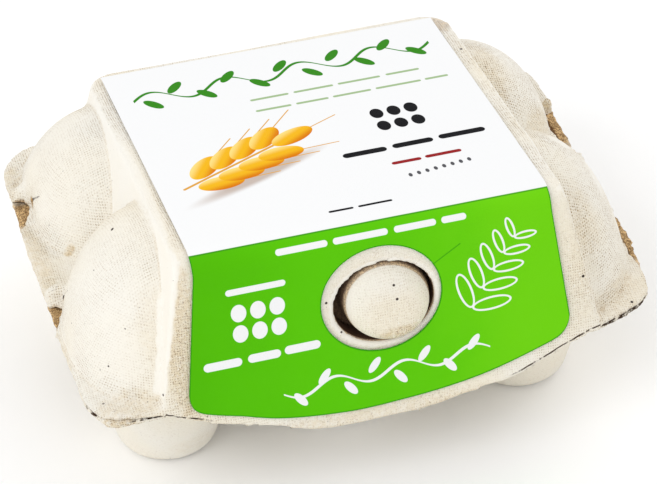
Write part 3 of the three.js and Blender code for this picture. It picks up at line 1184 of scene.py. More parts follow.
def calc(operation, *values):
    """A maths node. It works on vectors where one of the values is a vector or a colour."""
    kinds = [value.socket.type for value in values if isinstance(value, Signal)]
    is_vector = "VECTOR" in kinds or "RGBA" in kinds
    output = "Vector" if is_vector and operation not in GIVES_NUMBER else "Value"
    return node(tree_of(values), "VectorMath" if is_vector else "Math",
                dict(enumerate(values)), output, operation=operation)


def scaled(vector, factor):
    return node(vector.tree, "VectorMath", {"Vector": vector, "Scale": factor}, "Vector",
                operation="SCALE")


def parts_of(vector):
    return node(vector.tree, "SeparateXYZ", {"Vector": vector}, "X", "Y", "Z")


def between(value, low, high, to_low=0.0, to_high=1.0):
    """Maps low..high to to_low..to_high with soft ends."""
    inputs = {"Value": value, "From Min": low, "From Max": high,
              "To Min": to_low, "To Max": to_high}
    return node(value.tree, "MapRange", inputs, "Result", interpolation_type="SMOOTHSTEP")


def noise_of(vector, scale, detail=2.0, roughness=0.5, output="Fac"):
    inputs = {"Vector": vector, "Scale": scale, "Detail": detail, "Roughness": roughness}
    return node(vector.tree, "TexNoise", inputs, output)


def mixed(factor, under, over):
    """Colour under, covered by colour over as far as factor says."""
    inputs = {"Factor": factor, "A": under, "B": over}
    return node(tree_of(inputs.values()), "Mix", inputs, "Result", data_type="RGBA")


def strongest(masks):
    """The largest of several masks at each spot."""
    total = 0.0
    for mask in masks:
        total = calc("MAXIMUM", total, mask)
    return total


def millimetres(tree):
    """Object coordinates in millimetres."""
    return scaled(node(tree, "TexCoord", {}, "Object"), 1.0 / MM)


def socket_name(argument):
    return argument.replace("_", " ").title()


def group(*outputs, **inputs):
    """Makes a shader node group from a function, and a function that places it in a tree."""

    def build(recipe):
        tree = bpy.data.node_groups.new(recipe.__name__.replace("_", " "), "ShaderNodeTree")
        for name, default in inputs.items():
            kind = SOCKET_KINDS.get(default, "NodeSocketFloat")
            socket = tree.interface.new_socket(
                socket_name(name), in_out="INPUT", socket_type=kind)
            if kind == "NodeSocketFloat":
                socket.default_value = default
        for name in outputs:
            kind = SOCKET_KINDS["colour"] if name == "Color" else "NodeSocketFloat"
            tree.interface.new_socket(name, in_out="OUTPUT", socket_type=kind)
        source = tree.nodes.new("NodeGroupInput").outputs
        sink = tree.nodes.new("NodeGroupOutput").inputs
        results = recipe(**{name: Signal(tree, source[socket_name(name)]) for name in inputs})
        for name, result in zip(outputs, results if len(outputs) > 1 else [results]):
            plug(sink[name], result)
        print("group:", tree.name, [socket_name(name) for name in inputs], list(outputs))

        def placed(**values):
            named = {socket_name(name): value for name, value in values.items()}
            return node(tree_of(values.values()), "Group", named, *outputs, node_tree=tree)

        return placed

    return build


# %% [markdown]
# ## Mark of the wire mould
#
# The wire screen of the mould leaves rows of tiny pits, about two thirds of a millimetre apart.
# The pattern is a product of two raised cosine waves, so there is one pit in each square of it.
# It is laid onto the face that looks most along an axis: three flat patterns are blended by the
# surface's normal. Slow noise bends the rows the way a screen stretches over a round form.

# %% Group: wire mark
HALF = (0.5, 0.5, 0.5)
FULL_TURN = 2.0 * math.pi
BLEND_SHARPNESS = 9.0


def wave(value, pitch):
    """A cosine wave between 0 and 1."""
    return calc("COSINE", value / pitch * FULL_TURN) * 0.5 + 0.5


@group("Height", "Pits", position="vector", pitch=0.64, wander=2.4)
def wire_mark(position, pitch, wander):
    bend = noise_of(position, 0.045, 1.0, output="Color") - HALF
    x, y, z = (wave(part, pitch) for part in parts_of(position + scaled(bend, wander)))
    normal = node(position.tree, "NewGeometry", {}, "Normal")
    facing = [calc("POWER", abs(part), BLEND_SHARPNESS) for part in parts_of(normal)]
    blend = facing[0] * (y * z) + facing[1] * (x * z) + facing[2] * (x * y)
    depth = blend / (facing[0] + facing[1] + facing[2])
    return 1.0 - depth, between(depth, 0.25, 0.75)


# %% [markdown]
# ## Flecks and ragged zones
#
# Recycled pulp is full of dark bits of fibre. Voronoi cells give each bit a place, and a random
# colour per cell decides which cells hold one. A ragged zone is a patch at a known spot; noise
# breaks up its outline, so that a stain looks soaked in. The same zones place painted shade,
# painted shadow and a painted highlight.

# %% Groups: flecks and ragged zone
@group("Mask", position="vector", spacing=6.0, size=0.4, share=0.3)
def flecks(position, spacing, size, share):
    jitter = scaled(noise_of(position, 0.9, output="Color") - HALF, 0.9)
    inputs = {"Vector": position + jitter, "Scale": 1.0 / spacing}
    distance, colour = node(position.tree, "TexVoronoi", inputs, "Distance", "Color")
    red, green, _ = parts_of(colour)
    radius = size * (green + 0.35)
    inside = 1.0 - between(distance * spacing / radius, 0.6, 1.1)
    return calc("LESS_THAN", red, share) * inside


@group("Mask", position="vector", centre="vector", reach="vector", raggedness=0.6)
def stain(position, centre, reach, raggedness):
    broken = noise_of(position, 0.55, 4.0, 0.65) - 0.5
    edge = broken * raggedness + calc("LENGTH", (position - centre) / reach)
    return 1.0 - between(edge, 0.55, 1.05)


# %% [markdown]
# ## Shade behind the front wall
#
# The hole's walls and the flank of the knob are painted brown and dark. The brown is partly the
# coarse inner side of the pulp and partly painted shade; the dark is painted shade, as little
# light gets in. The mask is the distance behind the leaning plane of the front wall. A second
# small group measures how far a spot turns away from the lamp's side; there the pulp paints
# shade, because the wire's pits show most where the light doesn't fall straight on them.

# %% Groups: depth behind the front wall and side away from the lamp
HOLE_MARGIN = 1.2
SLOT_DEPTH = 14.0
LAMP_SIDE = (-0.64, -0.3, 0.71)


@group("Mask", position="vector", start=0.4, end=3.0)
def depth_behind_wall(position, start, end):
    x, y, z = parts_of(position)
    depth = y - ((z - FOLD_Z) * FRONT_LEAN + FOLD_Y)
    across = (x - HOLE["x"]) / (HOLE["half_width"] + HOLE_MARGIN)
    up = (z - HOLE["z"]) / (HOLE["half_height"] + HOLE_MARGIN)
    in_hole = calc("LESS_THAN", across * across + up * up, 1.0)
    return between(depth, start, end) * in_hole * calc("LESS_THAN", depth, SLOT_DEPTH)


@group("Mask", normal="vector")
def away_from_lamp(normal):
    return between(calc("DOT_PRODUCT", normal, LAMP_SIDE), 1.0, 0.45)


# %% [markdown]
# ## The pulp's ground and its painted shade
#
# Pulp is matt and warm white. Its colour drifts slowly between cream and grey and is tan in
# places; on the side away from the key lamp it is painted creamier, as shade. The wire's pits
# are painted tan-brown as the shade in them, more strongly on that side, and the specks show more
# there too; pits and specks are tan rather than grey, for dry pulp has no cold tones. Lid and
# tray share all of this: what differs between them, such as where the tan is, comes in as a
# mask. All colours are linear values, as the shader wants them.

# %% Group: pulp ground
PULP_LIGHT = (0.875, 0.842, 0.765, 1.0)
PULP_CREAM_AND_SHADE = (0.87, 0.80, 0.655, 1.0)
PULP_TAN = (0.72, 0.585, 0.375, 1.0)
PULP_PIT_SHADE = (0.42, 0.30, 0.17, 1.0)
PULP_SPECK = (0.26, 0.155, 0.085, 1.0)
PULP_PALE = (0.93, 0.91, 0.86, 1.0)
PULP_HOLLOW = (0.46, 0.29, 0.13, 1.0)
PULP_FLECK = (0.05, 0.03, 0.025, 1.0)
FLECK_SIZES = ((9.0, 0.42, 0.22), (3.3, 0.2, 0.26), (1.5, 0.11, 0.35))


@group("Color", "Height", "Roughness", position="vector", away=0.5, marked=1.0, tan=0.0,
       grime=0.0, smooth=0.0)
def pulp_ground(position, away, marked, tan, grime, smooth):
    # painted shade: the ground drifts further towards cream on the side away from the key lamp
    drift_and_shade = between(noise_of(position, 0.035, 3.0), 0.3, 0.7) * (away * 0.7 + 0.3)
    coarse = noise_of(position, 0.75, 5.0, 0.75)
    colour = mixed(drift_and_shade, PULP_LIGHT, PULP_CREAM_AND_SHADE)
    colour = mixed(tan * between(coarse, 0.36, 0.6, 0.25, 0.9), colour, PULP_TAN)
    # pale where the wire left no mark; on the right front dome the pale zones paint a highlight
    # along its top edge
    colour = mixed(between(smooth, 0.55, 1.0) * 0.5, colour, PULP_PALE)
    # the wire's pits, painted tan-brown as the shade in them, some missing, and patches where they
    # are faint
    height, pits = wire_mark(position=position)
    odd = between(noise_of(position, 0.9, 2.0, 0.6), 0.38, 0.6, 0.0, 0.9)
    patchy = between(noise_of(position, 0.09), 0.3, 0.62, 0.4, 1.0)
    # painted shade: pits and specks show more on the side away from the lamp
    shade_weight = away * 0.6 + 0.4
    colour = mixed(pits * odd * (marked * shade_weight * patchy), colour, PULP_PIT_SHADE)
    # dark and pale bits of fibre, which show more on the side away from the lamp; brown in hollows
    # and creases, partly grime and partly painted shade; and flecks
    specked = between(smooth, 1.0, 0.5) * shade_weight * patchy
    bits = noise_of(position, 1.9, 3.0, 0.75)
    colour = mixed(between(bits, 0.55, 0.66) * specked * (tan * 0.8 + 0.25), colour, PULP_SPECK)
    colour = mixed(between(bits, 0.43, 0.33) * specked * 0.7, colour, PULP_PALE)
    # brown in hollows and along creases: partly grime, partly painted shade
    colour = mixed(grime * between(coarse, 0.42, 0.6), colour, PULP_HOLLOW)
    for spacing, size, share in FLECK_SIZES:
        mask = flecks(position=position, spacing=spacing, size=size, share=share)
        colour = mixed(mask * 0.8, colour, PULP_FLECK)
    relief = height * (patchy * marked * 0.55) + noise_of(position, 1.9, 4.0, 0.65)
    return colour, relief, between(coarse, 0.3, 0.7, 0.84, 0.98)


# %% [markdown]
# ## Brown soak and painted seam shadow
#
# Torn pulp shows its brown inner fibres. A soaked spot is golden with a dark net of fibres, so
# one noise decides between two browns; behind the front wall the same brown also paints shade.
# The shadow in the gap between lid and tray is painted as a dark line: it follows the height
# above the seam, which the mesh carries as an attribute.

# %% Groups: soak and painted seam shadow
PULP_STAIN_AND_SHADE = (0.70, 0.43, 0.15, 1.0)
PULP_FIBRE_AND_SHADE = (0.10, 0.04, 0.014, 1.0)
PULP_SEAM_SHADOW = (0.05, 0.026, 0.014, 1.0)


@group("Color", position="vector", color="colour", mask=0.0)
def soak(position, color, mask):
    fibres = between(abs(noise_of(position, 0.8, 5.0, 0.8) - 0.5), 0.0, 0.07)
    brown = mixed(fibres, PULP_FIBRE_AND_SHADE, PULP_STAIN_AND_SHADE)
    return mixed(mask * (fibres * -0.2 + 1.0), color, brown)


@group("Mask", position="vector", seam=1.0, zone=0.0)
def crack(position, seam, zone):
    line = between(abs(seam - 0.3) / (zone * 0.75 + 0.1), 1.0, 0.5)
    ragged = between(noise_of(position, 0.45, 3.0, 0.7), 0.38, 0.5)
    return line * ragged * between(zone, 0.0, 0.25)


# %% [markdown]
# ## Pulp materials
#
# Each material reads the measures kept on its mesh, builds its masks from lists of zones and
# hands them to the shared groups. A few large specks are placed one by one, and rows of spots
# paint shadow at the ends of the left tears.

# %% Pulp material
PULP_INSIDE_SHADE = (0.06, 0.024, 0.011, 1.0)
PULP_SPOT_AND_SHADOW = (0.035, 0.02, 0.018, 1.0)


def coated(name, paint, choices=(), specular=0.18, bump_mm=0.2, bump_strength=1.0):
    """A matt material. The function paint gives its colour, height and roughness."""
    material = bpy.data.materials.new(name)
    material.use_nodes = True
    tree = material.node_tree
    colour, height, roughness = paint(tree, *choices)
    inputs = {"Distance": bump_mm * MM, "Strength": bump_strength, "Height": height}
    surface = tree.nodes["Principled BSDF"].inputs
    plug(surface["Normal"], node(tree, "Bump", inputs, "Normal"))
    plug(surface["Base Color"], colour)
    plug(surface["Roughness"], roughness)
    plug(surface["Specular IOR Level"], specular)
    return material


def measured(tree, name):
    return node(tree, "Attribute", {}, "Fac", attribute_name=name)


def zone_mask(place, zones):
    """The strongest of several ragged zones: x, y, z, reach along each, and strength."""
    return strongest(
        stain(position=place, centre=zone[:3], reach=zone[3:6]) * zone[6] for zone in zones
    )


def spot_mask(place, spots):
    """Round specks: x, y, z and radius."""
    return strongest(
        between(calc("DISTANCE", place, spot[:3]), spot[3] * 1.25, spot[3] * 0.7)
        for spot in spots
    )


def pulp_paint(tree, zones, brown_from, inside_from, inside_to, darkness):
    place = millimetres(tree)

    def zone(name):
        return zone_mask(place, zones.get(name, ()))

    away = away_from_lamp(normal=node(tree, "NewGeometry", {}, "Normal"))
    # the pale zones: two pale smooth bands at the left, and a painted highlight along the right
    # front dome's top edge
    smooth = calc("MAXIMUM", measured(tree, "unmarked"), zone("pale"))
    from_fold = measured(tree, "fold")
    fold = between(from_fold, 1.0, 0.25)
    # tan along the creases is partly painted shade
    tan = calc("MAXIMUM", zone("tan"), fold * 0.3) * between(smooth, 1.0, 0.5)
    # painted shade and grime: hollows and creases turn brown
    hollow = between(measured(tree, "hollow"), 0.15, 0.40)
    broken = between(noise_of(place, 0.5, 4.0, 0.7), 0.4, 0.56)
    grime = calc("MAXIMUM", hollow * 0.3, fold * broken) * calc("MAXIMUM", zone("grime"), 0.12)
    marked = tan * 0.4 + (between(from_fold, 9.0, 1.5) * 0.6 + 1.0) - smooth * 1.6
    colour, height, roughness = pulp_ground(
        position=place, away=away, marked=calc("MAXIMUM", marked, 0.0), tan=tan, grime=grime,
        smooth=smooth)
    # specks at given places, and tapering rows of spots that paint shadow at the ends of the left
    # tears
    colour = mixed(spot_mask(place, zones["spots"]), colour, PULP_SPOT_AND_SHADOW)
    # behind the front wall the brown is partly stain and partly painted shade
    behind = depth_behind_wall(position=place, start=brown_from, end=inside_from)
    soak_and_shade_mask = calc("MAXIMUM", zone("stains"), behind * 0.8)
    colour = soak(position=place, color=colour, mask=soak_and_shade_mask)
    # painted shadow along the inner edges of the tears, where the shade zones are
    colour = mixed(zone("shade") * 0.85, colour, PULP_FIBRE_AND_SHADE)
    # painted shade: dark deep behind the front wall, in the hole and the slot
    inside = depth_behind_wall(position=place, start=inside_from, end=inside_to)
    colour = mixed(inside * darkness, colour, PULP_INSIDE_SHADE)
    # painted shadow: a dark line in the gap between lid and tray, and in the tears
    shadowed_seam = crack(position=place, seam=measured(tree, "seam"), zone=zone("cracks"))
    return mixed(shadowed_seam, colour, PULP_SEAM_SHADOW), height, roughness


# %% [markdown]
# ## Where the tan, the stains, the painted highlight and the painted shadows are
#
# Each row is a zone: its centre in millimetres, its reach along x, y and z, and its strength.
# Tan lies along the rims and in the valleys; on the back right dome next to the valley it stands
# in for shade. Soaked brown lies in the tears. The seam's painted shadow is darkest at the front
# corners and also lines the tears, and the tray's shade zones paint shadow along the right tears'
# inner edges. The lid's pale zones paint a highlight along the right front dome's top edge,
# besides two pale bands at the left. A spot has a centre and a radius; the tapering rows of
# spots at the ends of the left tears paint shadow.

# %% Zones and the two pulp materials
def shadow_line(start, end, count, first_radius, last_radius):
    """Spots so close that they make a tapering line of painted shadow, such as at the end of a
    tear.
    """
    shares = [i / (count - 1) for i in range(count)]
    return [
        (*Vector(start).lerp(Vector(end), share),
         first_radius + (last_radius - first_radius) * share)
        for share in shares
    ]


SEAM_SHADOWS = (
    (66.0, -50.0, 31.0, 13.0, 7.0, 6.0, 1.35), (48.0, -56.0, 27.0, 22.0, 8.0, 9.0, 0.25),
    (-55.0, -55.6, 30.5, 15.0, 4.5, 4.0, 0.26), (-73.8, -47.0, 31.0, 2.5, 3.0, 4.0, 0.7),
    (-70.5, 36.8, 31.5, 6.5, 1.6, 2.5, 1.0), (-70.0, -6.8, 31.5, 5.5, 2.2, 2.5, 1.0),
    (72.3, 27.0, 31.3, 2.0, 12.0, 2.0, 0.5), (74.4, -24.0, 31.3, 2.0, 15.0, 2.0, 0.9),
)
LID_ZONES = {
    "tan": (
        (-75.0, 11.0, 32.0, 5.5, 20.0, 4.0, 0.5), (-74.0, 44.0, 32.0, 6.0, 9.0, 4.0, 0.5),
        (-66.0, -51.0, 33.0, 12.0, 6.0, 5.0, 0.45), (66.0, -47.0, 33.0, 15.0, 10.0, 5.0, 0.3),
        (75.0, -25.0, 32.0, 6.0, 22.0, 4.0, 0.3), (56.5, -37.0, 47.0, 6.0, 9.0, 22.0, 0.3),
        (53.5, 20.0, 56.0, 6.0, 26.0, 9.0, 0.35), (-55.5, -43.0, 49.0, 5.0, 9.0, 17.0, 0.18),
        (-50.0, -49.5, 48.0, 6.0, 14.0, 34.0, 0.7), (1.4, -50.0, 50.0, 20.0, 9.0, 17.0, 0.25),
        (53.0, -51.0, 46.0, 4.5, 7.0, 19.0, 0.2), (66.0, 16.0, 39.0, 9.0, 8.0, 8.0, 0.45),
        (-65.2, 10.4, 34.0, 2.6, 1.3, 2.2, 0.9), (-5.0, -59.0, 20.5, 46.0, 4.0, 4.5, 0.5),
        (74.2, 33.4, 33.5, 3.0, 3.0, 3.0, 1.0),
    ),
    # a painted highlight along the right front dome's top edge, and two pale smooth bands at the
    # left
    "pale": (
        (60.5, -15.5, 61.0, 7.0, 4.0, 3.5, 0.9), (66.5, -21.5, 53.5, 3.5, 9.0, 7.0, 0.8),
        (70.5, -25.0, 43.0, 2.5, 9.0, 7.0, 0.6), (-49.3, -8.0, 65.0, 2.6, 46.0, 9.0, 0.85),
        (-66.6, 4.0, 34.5, 4.2, 9.0, 4.5, 0.6),
    ),
    "grime": (
        (66.0, -44.0, 33.0, 18.0, 14.0, 7.0, 0.5), (73.0, 26.0, 32.0, 8.0, 16.0, 5.0, 0.5),
        (54.0, -43.0, 35.0, 6.0, 14.0, 9.0, 0.6),
    ),
    "stains": (
        (-64.8, 10.0, 34.0, 2.2, 0.8, 1.8, 0.2), (-70.3, 31.0, 35.2, 1.2, 2.2, 1.8, 0.9),
        (-71.2, -8.6, 34.4, 1.2, 2.2, 1.8, 0.9), (46.5, 46.7, 57.0, 4.5, 5.5, 5.0, 0.4),
        (-70.5, 36.4, 31.2, 5.0, 1.4, 1.6, 0.8), (-70.5, -7.2, 31.2, 4.5, 1.6, 1.6, 0.8),
        (56.0, -46.0, 34.0, 3.2, 5.0, 3.0, 0.3), (72.0, 30.0, 31.4, 1.6, 10.0, 1.6, 0.8),
        (74.2, -25.0, 31.4, 1.4, 11.0, 1.6, 0.8),
    ),
    "cracks": SEAM_SHADOWS,
    "spots": (
        (-61.7, 13.6, 42.2, 0.36), (-59.1, -16.5, 61.2, 0.46), (-57.2, -41.5, 51.1, 0.34),
        (-67.2, -41.8, 39.4, 0.3), (-62.6, -37.8, 50.6, 0.26), (-55.7, 20.2, 51.7, 0.36),
        (-63.5, 26.9, 49.3, 0.24), (48.2, 31.4, 59.3, 0.4), (67.8, -49.2, 32.1, 0.4),
        (53.2, -51.1, 46.0, 0.4), (-56.2, -52.7, 36.4, 0.36), (-13.5, -49.4, 52.6, 0.34),
        (-10.3, -51.3, 43.9, 0.34), (11.0, -51.4, 42.1, 0.36),
        # painted shadow: tapering dark lines at the ends of the left tears
        *shadow_line((-70.5, 31.6, 35.3), (-69.4, 26.2, 40.7), 9, 0.62, 0.24),
        *shadow_line((-70.7, -7.0, 33.8), (-70.9, -14.3, 42.1), 12, 0.62, 0.24),
    ),
}
TRAY_ZONES = {
    "tan": (
        (4.5, -56.0, 42.6, 8.0, 6.0, 3.2, 0.9), (2.0, -54.5, 60.4, 11.0, 6.0, 1.9, 0.8),
        (-68.0, -53.0, 29.5, 7.0, 4.0, 3.0, 0.9), (-46.0, -40.5, 6.5, 8.0, 4.0, 4.0, 0.4),
        (-73.5, -10.0, 30.0, 6.0, 60.0, 4.0, 0.4), (75.5, -10.0, 30.0, 6.0, 60.0, 4.0, 0.5),
    ),
    "shade": (
        (72.4, 25.0, 30.6, 1.3, 12.0, 2.0, 1.0), (74.2, -22.0, 30.6, 1.0, 12.0, 2.0, 1.0),
    ),
    "grime": ((0.0, 0.0, 12.0, 90.0, 70.0, 12.0, 0.2),),
    "stains": (
        (-72.0, 32.0, 30.4, 7.0, 7.5, 3.0, 1.0), (-72.0, -10.5, 30.4, 6.0, 7.5, 3.0, 1.0),
        (74.0, 28.0, 30.4, 8.0, 13.0, 3.0, 1.0), (75.5, -23.0, 30.4, 6.0, 15.0, 3.0, 1.0),
    ),
    "cracks": SEAM_SHADOWS[:4],
    "spots": (
        (-57.5, -40.5, 13.3, 0.38), (3.2, -51.6, 56.0, 0.34), (3.6, -53.0, 52.6, 0.38),
    ),
}
# behind the front wall: where the brown (partly stain, partly painted shade) and the painted dark
# start, where the dark is full, and how dark
for pulp, name, zones, depths in (
    (lid, "lid pulp", LID_ZONES, (0.6, 0.8, 1.5, 0.95)),
    (tray, "tray pulp", TRAY_ZONES, (-0.1, 0.4, 1.9, 0.82)),
):
    pulp.data.materials.append(coated(name, pulp_paint, (zones, *depths)))
    print("pulp material:", name)

# %% [markdown]
# ## Shapes for the print
#
# The print is flat ink, so it belongs in the material. Three small groups draw all of it from
# the sheet's own UV map in millimetres: an oval, a bar with round ends, and a vine's stem, which
# is a sine wave that swells and thins like a pen stroke. Each gives a mask with an edge of
# ink-like sharpness. Each shape has a centre and two axes; an oval's axes are as many times
# shorter than 1 as its halves are longer.

# %% Groups: oval, bar and vine
INK_EDGE = 0.12
ON_SHEET = {"point": "vector", "centre": "vector", "across": "vector", "along": "vector"}


def own_axes(point, centre, across, along):
    """Coordinates of the point on a shape's own two axes."""
    offset = point - centre
    return calc("DOT_PRODUCT", offset, across), calc("DOT_PRODUCT", offset, along)


def length_of(u, v):
    return calc("SQRT", u * u + v * v)


def inked(outside):
    """1 where a distance outside a shape is below zero."""
    return between(outside, INK_EDGE / 2.0, -INK_EDGE / 2.0)


@group("Mask", "Across", "Along", **ON_SHEET, edge=0.05)
def oval(point, centre, across, along, edge):
    u, v = own_axes(point, centre, across, along)
    return between(length_of(u, v), edge + 1.0, 1.0 - edge), u, v


@group("Mask", **ON_SHEET, half_length=5.0, half_height=0.8)
def bar(point, centre, across, along, half_length, half_height):
    u, v = own_axes(point, centre, across, along)
    past = calc("MAXIMUM", abs(u) - (half_length - half_height), 0.0)
    return inked(length_of(past, v) - half_height)


@group("Mask", **ON_SHEET, half_length=40.0, swing=2.0, wavelength=20.0, width=0.8)
def vine(point, centre, across, along, half_length, swing, wavelength, width):
    u, v = own_axes(point, centre, across, along)
    phase = u / wavelength * FULL_TURN
    swell = calc("COSINE", phase) * 0.3 + 0.8
    line = inked(abs(v - calc("SINE", phase) * swing) - width * 0.5 * swell)
    return line * calc("LESS_THAN", abs(u), half_length)


# %% [markdown]
# ## Placing the shapes
#
# Every motif is one of the three groups at a place, size and angle on the sheet. These small
# helpers turn an angle into the two axes that the groups expect, and add many shapes to one mask.

# %% Placing the shapes
def laid_at(u, v, angle, size_u=1.0, size_v=1.0):
    cosine, sine = math.cos(angle), math.sin(angle)
    return {
        "centre": (u, v, 0.0),
        "across": (cosine / size_u, sine / size_u, 0.0),
        "along": (-sine / size_v, cosine / size_v, 0.0),
    }


def oval_at(point, u, v, half_u, half_v, angle=0.0, softness=INK_EDGE):
    """An oval's mask and the coordinates across and along it."""
    return oval(point=point, **laid_at(u, v, angle, half_u, half_v),
                edge=softness / (half_u + half_v))


def bar_at(point, u, v, half_length, half_height, angle=0.0):
    return bar(point=point, **laid_at(u, v, angle), half_length=half_length,
               half_height=half_height)


def ovals(point, rows):
    return strongest(oval_at(point, *row)[0] for row in rows)


def bars(point, rows):
    return strongest(bar_at(point, *row) for row in rows)


# %% [markdown]
# ## Lists of motifs
#
# The top of the sheet is white and its front is green. The motifs are plain: a leafy vine where
# a heading would be, bars where lines of text would be, blocks of six small ovals for the six
# eggs, an ear of grain as the picture and a leaf spray beside the window. Each is listed by its
# place on the flat sheet.

# %% Print colours and lists
WHITE = (0.868, 0.872, 0.878, 1.0)
GREEN_LEFT = (0.078, 0.46, 0.001, 1.0)
GREEN_MIDDLE = (0.10, 0.545, 0.002, 1.0)
GREEN_RIGHT = (0.155, 0.625, 0.005, 1.0)
GREEN_LINE = (0.04, 0.33, 0.004, 1.0)
LEAF_GREEN = (0.035, 0.24, 0.01, 1.0)
PALE_GREEN = (0.36, 0.50, 0.27, 1.0)
BLACK = (0.008, 0.008, 0.01, 1.0)
RED = (0.30, 0.012, 0.015, 1.0)
GREY = (0.09, 0.09, 0.10, 1.0)
SHADOW_BROWN = (0.30, 0.14, 0.04, 1.0)
GRAIN_LIGHT = (0.92, 0.70, 0.22, 1.0)
GRAIN_GOLD = (0.86, 0.46, 0.01, 1.0)
GRAIN_DEEP = (0.68, 0.18, 0.0, 1.0)
GRAIN_STALK = (0.72, 0.36, 0.05, 1.0)
GREEN_FROM_V = -2.6
SPRAY_LINE = 0.55
EAR_FOOT = (-38.5, 27.5)
EAR_TIP = (-7.0, 43.0)
GRAIN_PAIRS = 4
AWN_REACH = 10.5
SPRAY_PAIRS = 5
LEAF_TILT = math.radians(38.0)

# each word of a printed line is a bar: centre u and v, half length, half height
PALE_WORDS = [
    (-7.0, 64.6, 5.2, 0.5), (5.0, 64.7, 5.4, 0.5), (17.5, 64.8, 5.8, 0.5), (29.5, 65.0, 4.6, 0.5),
    (-7.5, 58.6, 4.8, 0.5), (3.0, 58.7, 4.4, 0.5), (13.8, 58.8, 5.2, 0.5), (26.5, 58.9, 6.2, 0.5),
    (37.0, 59.0, 3.2, 0.5),
]
BLACK_WORDS = [
    (8.0, 28.4, 5.8, 1.15), (20.8, 28.7, 5.4, 1.15), (34.0, 29.0, 6.2, 1.15),
    (-5.6, 3.9, 3.2, 0.45), (3.2, 3.9, 4.4, 0.45),
]
RED_WORDS = [(16.6, 20.6, 3.9, 0.7), (26.4, 20.9, 4.8, 0.7)]
FRONT_WORDS = [
    (-18.5, -5.9, 6.6, 0.8), (-3.5, -5.9, 7.0, 0.8), (10.5, -5.9, 5.4, 0.8), (20.5, -5.9, 3.2, 0.8),
    (-31.0, -13.9, 7.6, 0.85), (-41.0, -32.9, 4.9, 1.15), (-30.4, -32.7, 4.2, 1.15),
    (-20.6, -32.4, 4.6, 1.15),
]
DOTS = [(15.5 + 2.3 * i, 13.8 + 0.3 * i, 0.5, 0.9) for i in range(8)]


def block_of_six(u, v, pitch_u, pitch_v, half_u, half_v):
    return [
        (u + pitch_u * i, v + pitch_v * j, half_u, half_v)
        for i in (-1, 0, 1) for j in (-0.5, 0.5)
    ]


def vine_leaves(u, v, half_length, wavelength, size, tilt):
    """Leaves on both sides of a vine, two for each wave."""
    rows = []
    count = int(4 * half_length / wavelength)
    for i in range(count):
        at = -half_length + (i + 0.5) * 2.0 * half_length / count
        side = 1.0 if i % 2 else -1.0
        rows.append((u + at, v + tilt * at + side * size, 0.42 * size, size,
                     -side * LEAF_TILT))
    return rows


def leaf_spray(u, v):
    """Pairs of leaves along a curved line, smaller towards its tip."""
    leaves = []
    for i in range(SPRAY_PAIRS):
        share = i / (SPRAY_PAIRS - 1)
        root_u = u - 6.0 + 12.0 * share
        root_v = v - 9.0 + 17.0 * share + 3.0 * share * (1.0 - share)
        size = 5.2 - 2.2 * share
        for side in (-1.0, 1.0):
            angle = math.radians(-35.0 + side * 52.0)
            leaves.append((root_u - math.sin(angle) * size, root_v + math.cos(angle) * size,
                           0.36 * size, size, angle))
    return leaves


def ear_forms():
    """An ear of grain: its grains as ovals, its stem and awns as bars."""
    turn = math.atan2(EAR_TIP[1] - EAR_FOOT[1], EAR_TIP[0] - EAR_FOOT[0])
    length = math.dist(EAR_FOOT, EAR_TIP)

    def spot(forward, aside):
        return (
            EAR_FOOT[0] + forward * math.cos(turn) - aside * math.sin(turn),
            EAR_FOOT[1] + forward * math.sin(turn) + aside * math.cos(turn),
        )

    grains, lines = [], []
    for i in range(GRAIN_PAIRS):
        for side in (-1.0, 1.0):
            forward = length * (0.24 + 0.19 * i) + side
            angle = turn + side * math.radians(24.0)
            grains.append((*spot(forward, side * 4.4), 6.0, 3.2, angle))
            lines.append((*spot(forward + AWN_REACH * math.cos(side * 0.42),
                                side * 4.4 + AWN_REACH * 0.42 * side), 5.0, 0.17, angle))
    grains.append((*spot(length, 0.0), 6.4, 3.2, turn))
    lines.append((*spot(length + 10.0, 0.0), 5.0, 0.17, turn))
    lines.append((*spot(0.42 * length, 0.0), 0.46 * length, 0.4, turn))
    return grains, lines


GRAINS, STALKS = ear_forms()
SPRAY = leaf_spray(29.5, -22.0)
SPRAY_INSIDE = [(u, v, a - SPRAY_LINE, b - SPRAY_LINE, angle) for u, v, a, b, angle in SPRAY]
print("motifs:", len(GRAINS), "grains and", len(SPRAY), "leaves in the spray")

# %% [markdown]
# ## The label's edges
#
# The green is a little darker in a thin line along its outer edge and round the window. The
# sheet's lower cut is a line through points, so the shader gets the same line as a float curve.

# %% Edge of the green
CURVE_SPAN = 100.0


def lower_cut(u):
    """The v of the sheet's lower edge at u, as a curve through the points of the cut."""
    low, high = LABEL_LOWEST_V, LOWER_CUT[-1][1]
    value = node(u.tree, "FloatCurve", {"Value": u * (1.0 / CURVE_SPAN) + 0.5}, "Value")
    mapping = value.socket.node.mapping
    dots = mapping.curves[0].points
    shares = [(a / CURVE_SPAN + 0.5, (b - low) / (high - low)) for a, b in LOWER_CUT]
    dots[0].location, dots[1].location = shares[0], shares[-1]
    for share in shares[1:-1]:
        dots.new(*share)
    for dot in dots:
        dot.handle_type = "VECTOR"
    mapping.update()
    return value * (high - low) + low


def sheet_edge(u, v):
    """0 within a hair of the green's outer edges, 1 inside them."""
    below_bend = calc("MAXIMUM", -BEND_LENGTH - v, 0.0)
    on_white = between(v, GREEN_FROM_V, GREEN_FROM_V + 0.1, 0.0, 9.0)
    inside = between(v - lower_cut(u), 0.2, 0.4)
    for side in (-1, 1):
        edge = below_bend * LABEL_SIDE_LEAN[side] + LABEL_HALF_WIDTH[side]
        room = edge - u * float(side)
        inside = inside * between(room + on_white, 0.16, 0.34)
    return inside


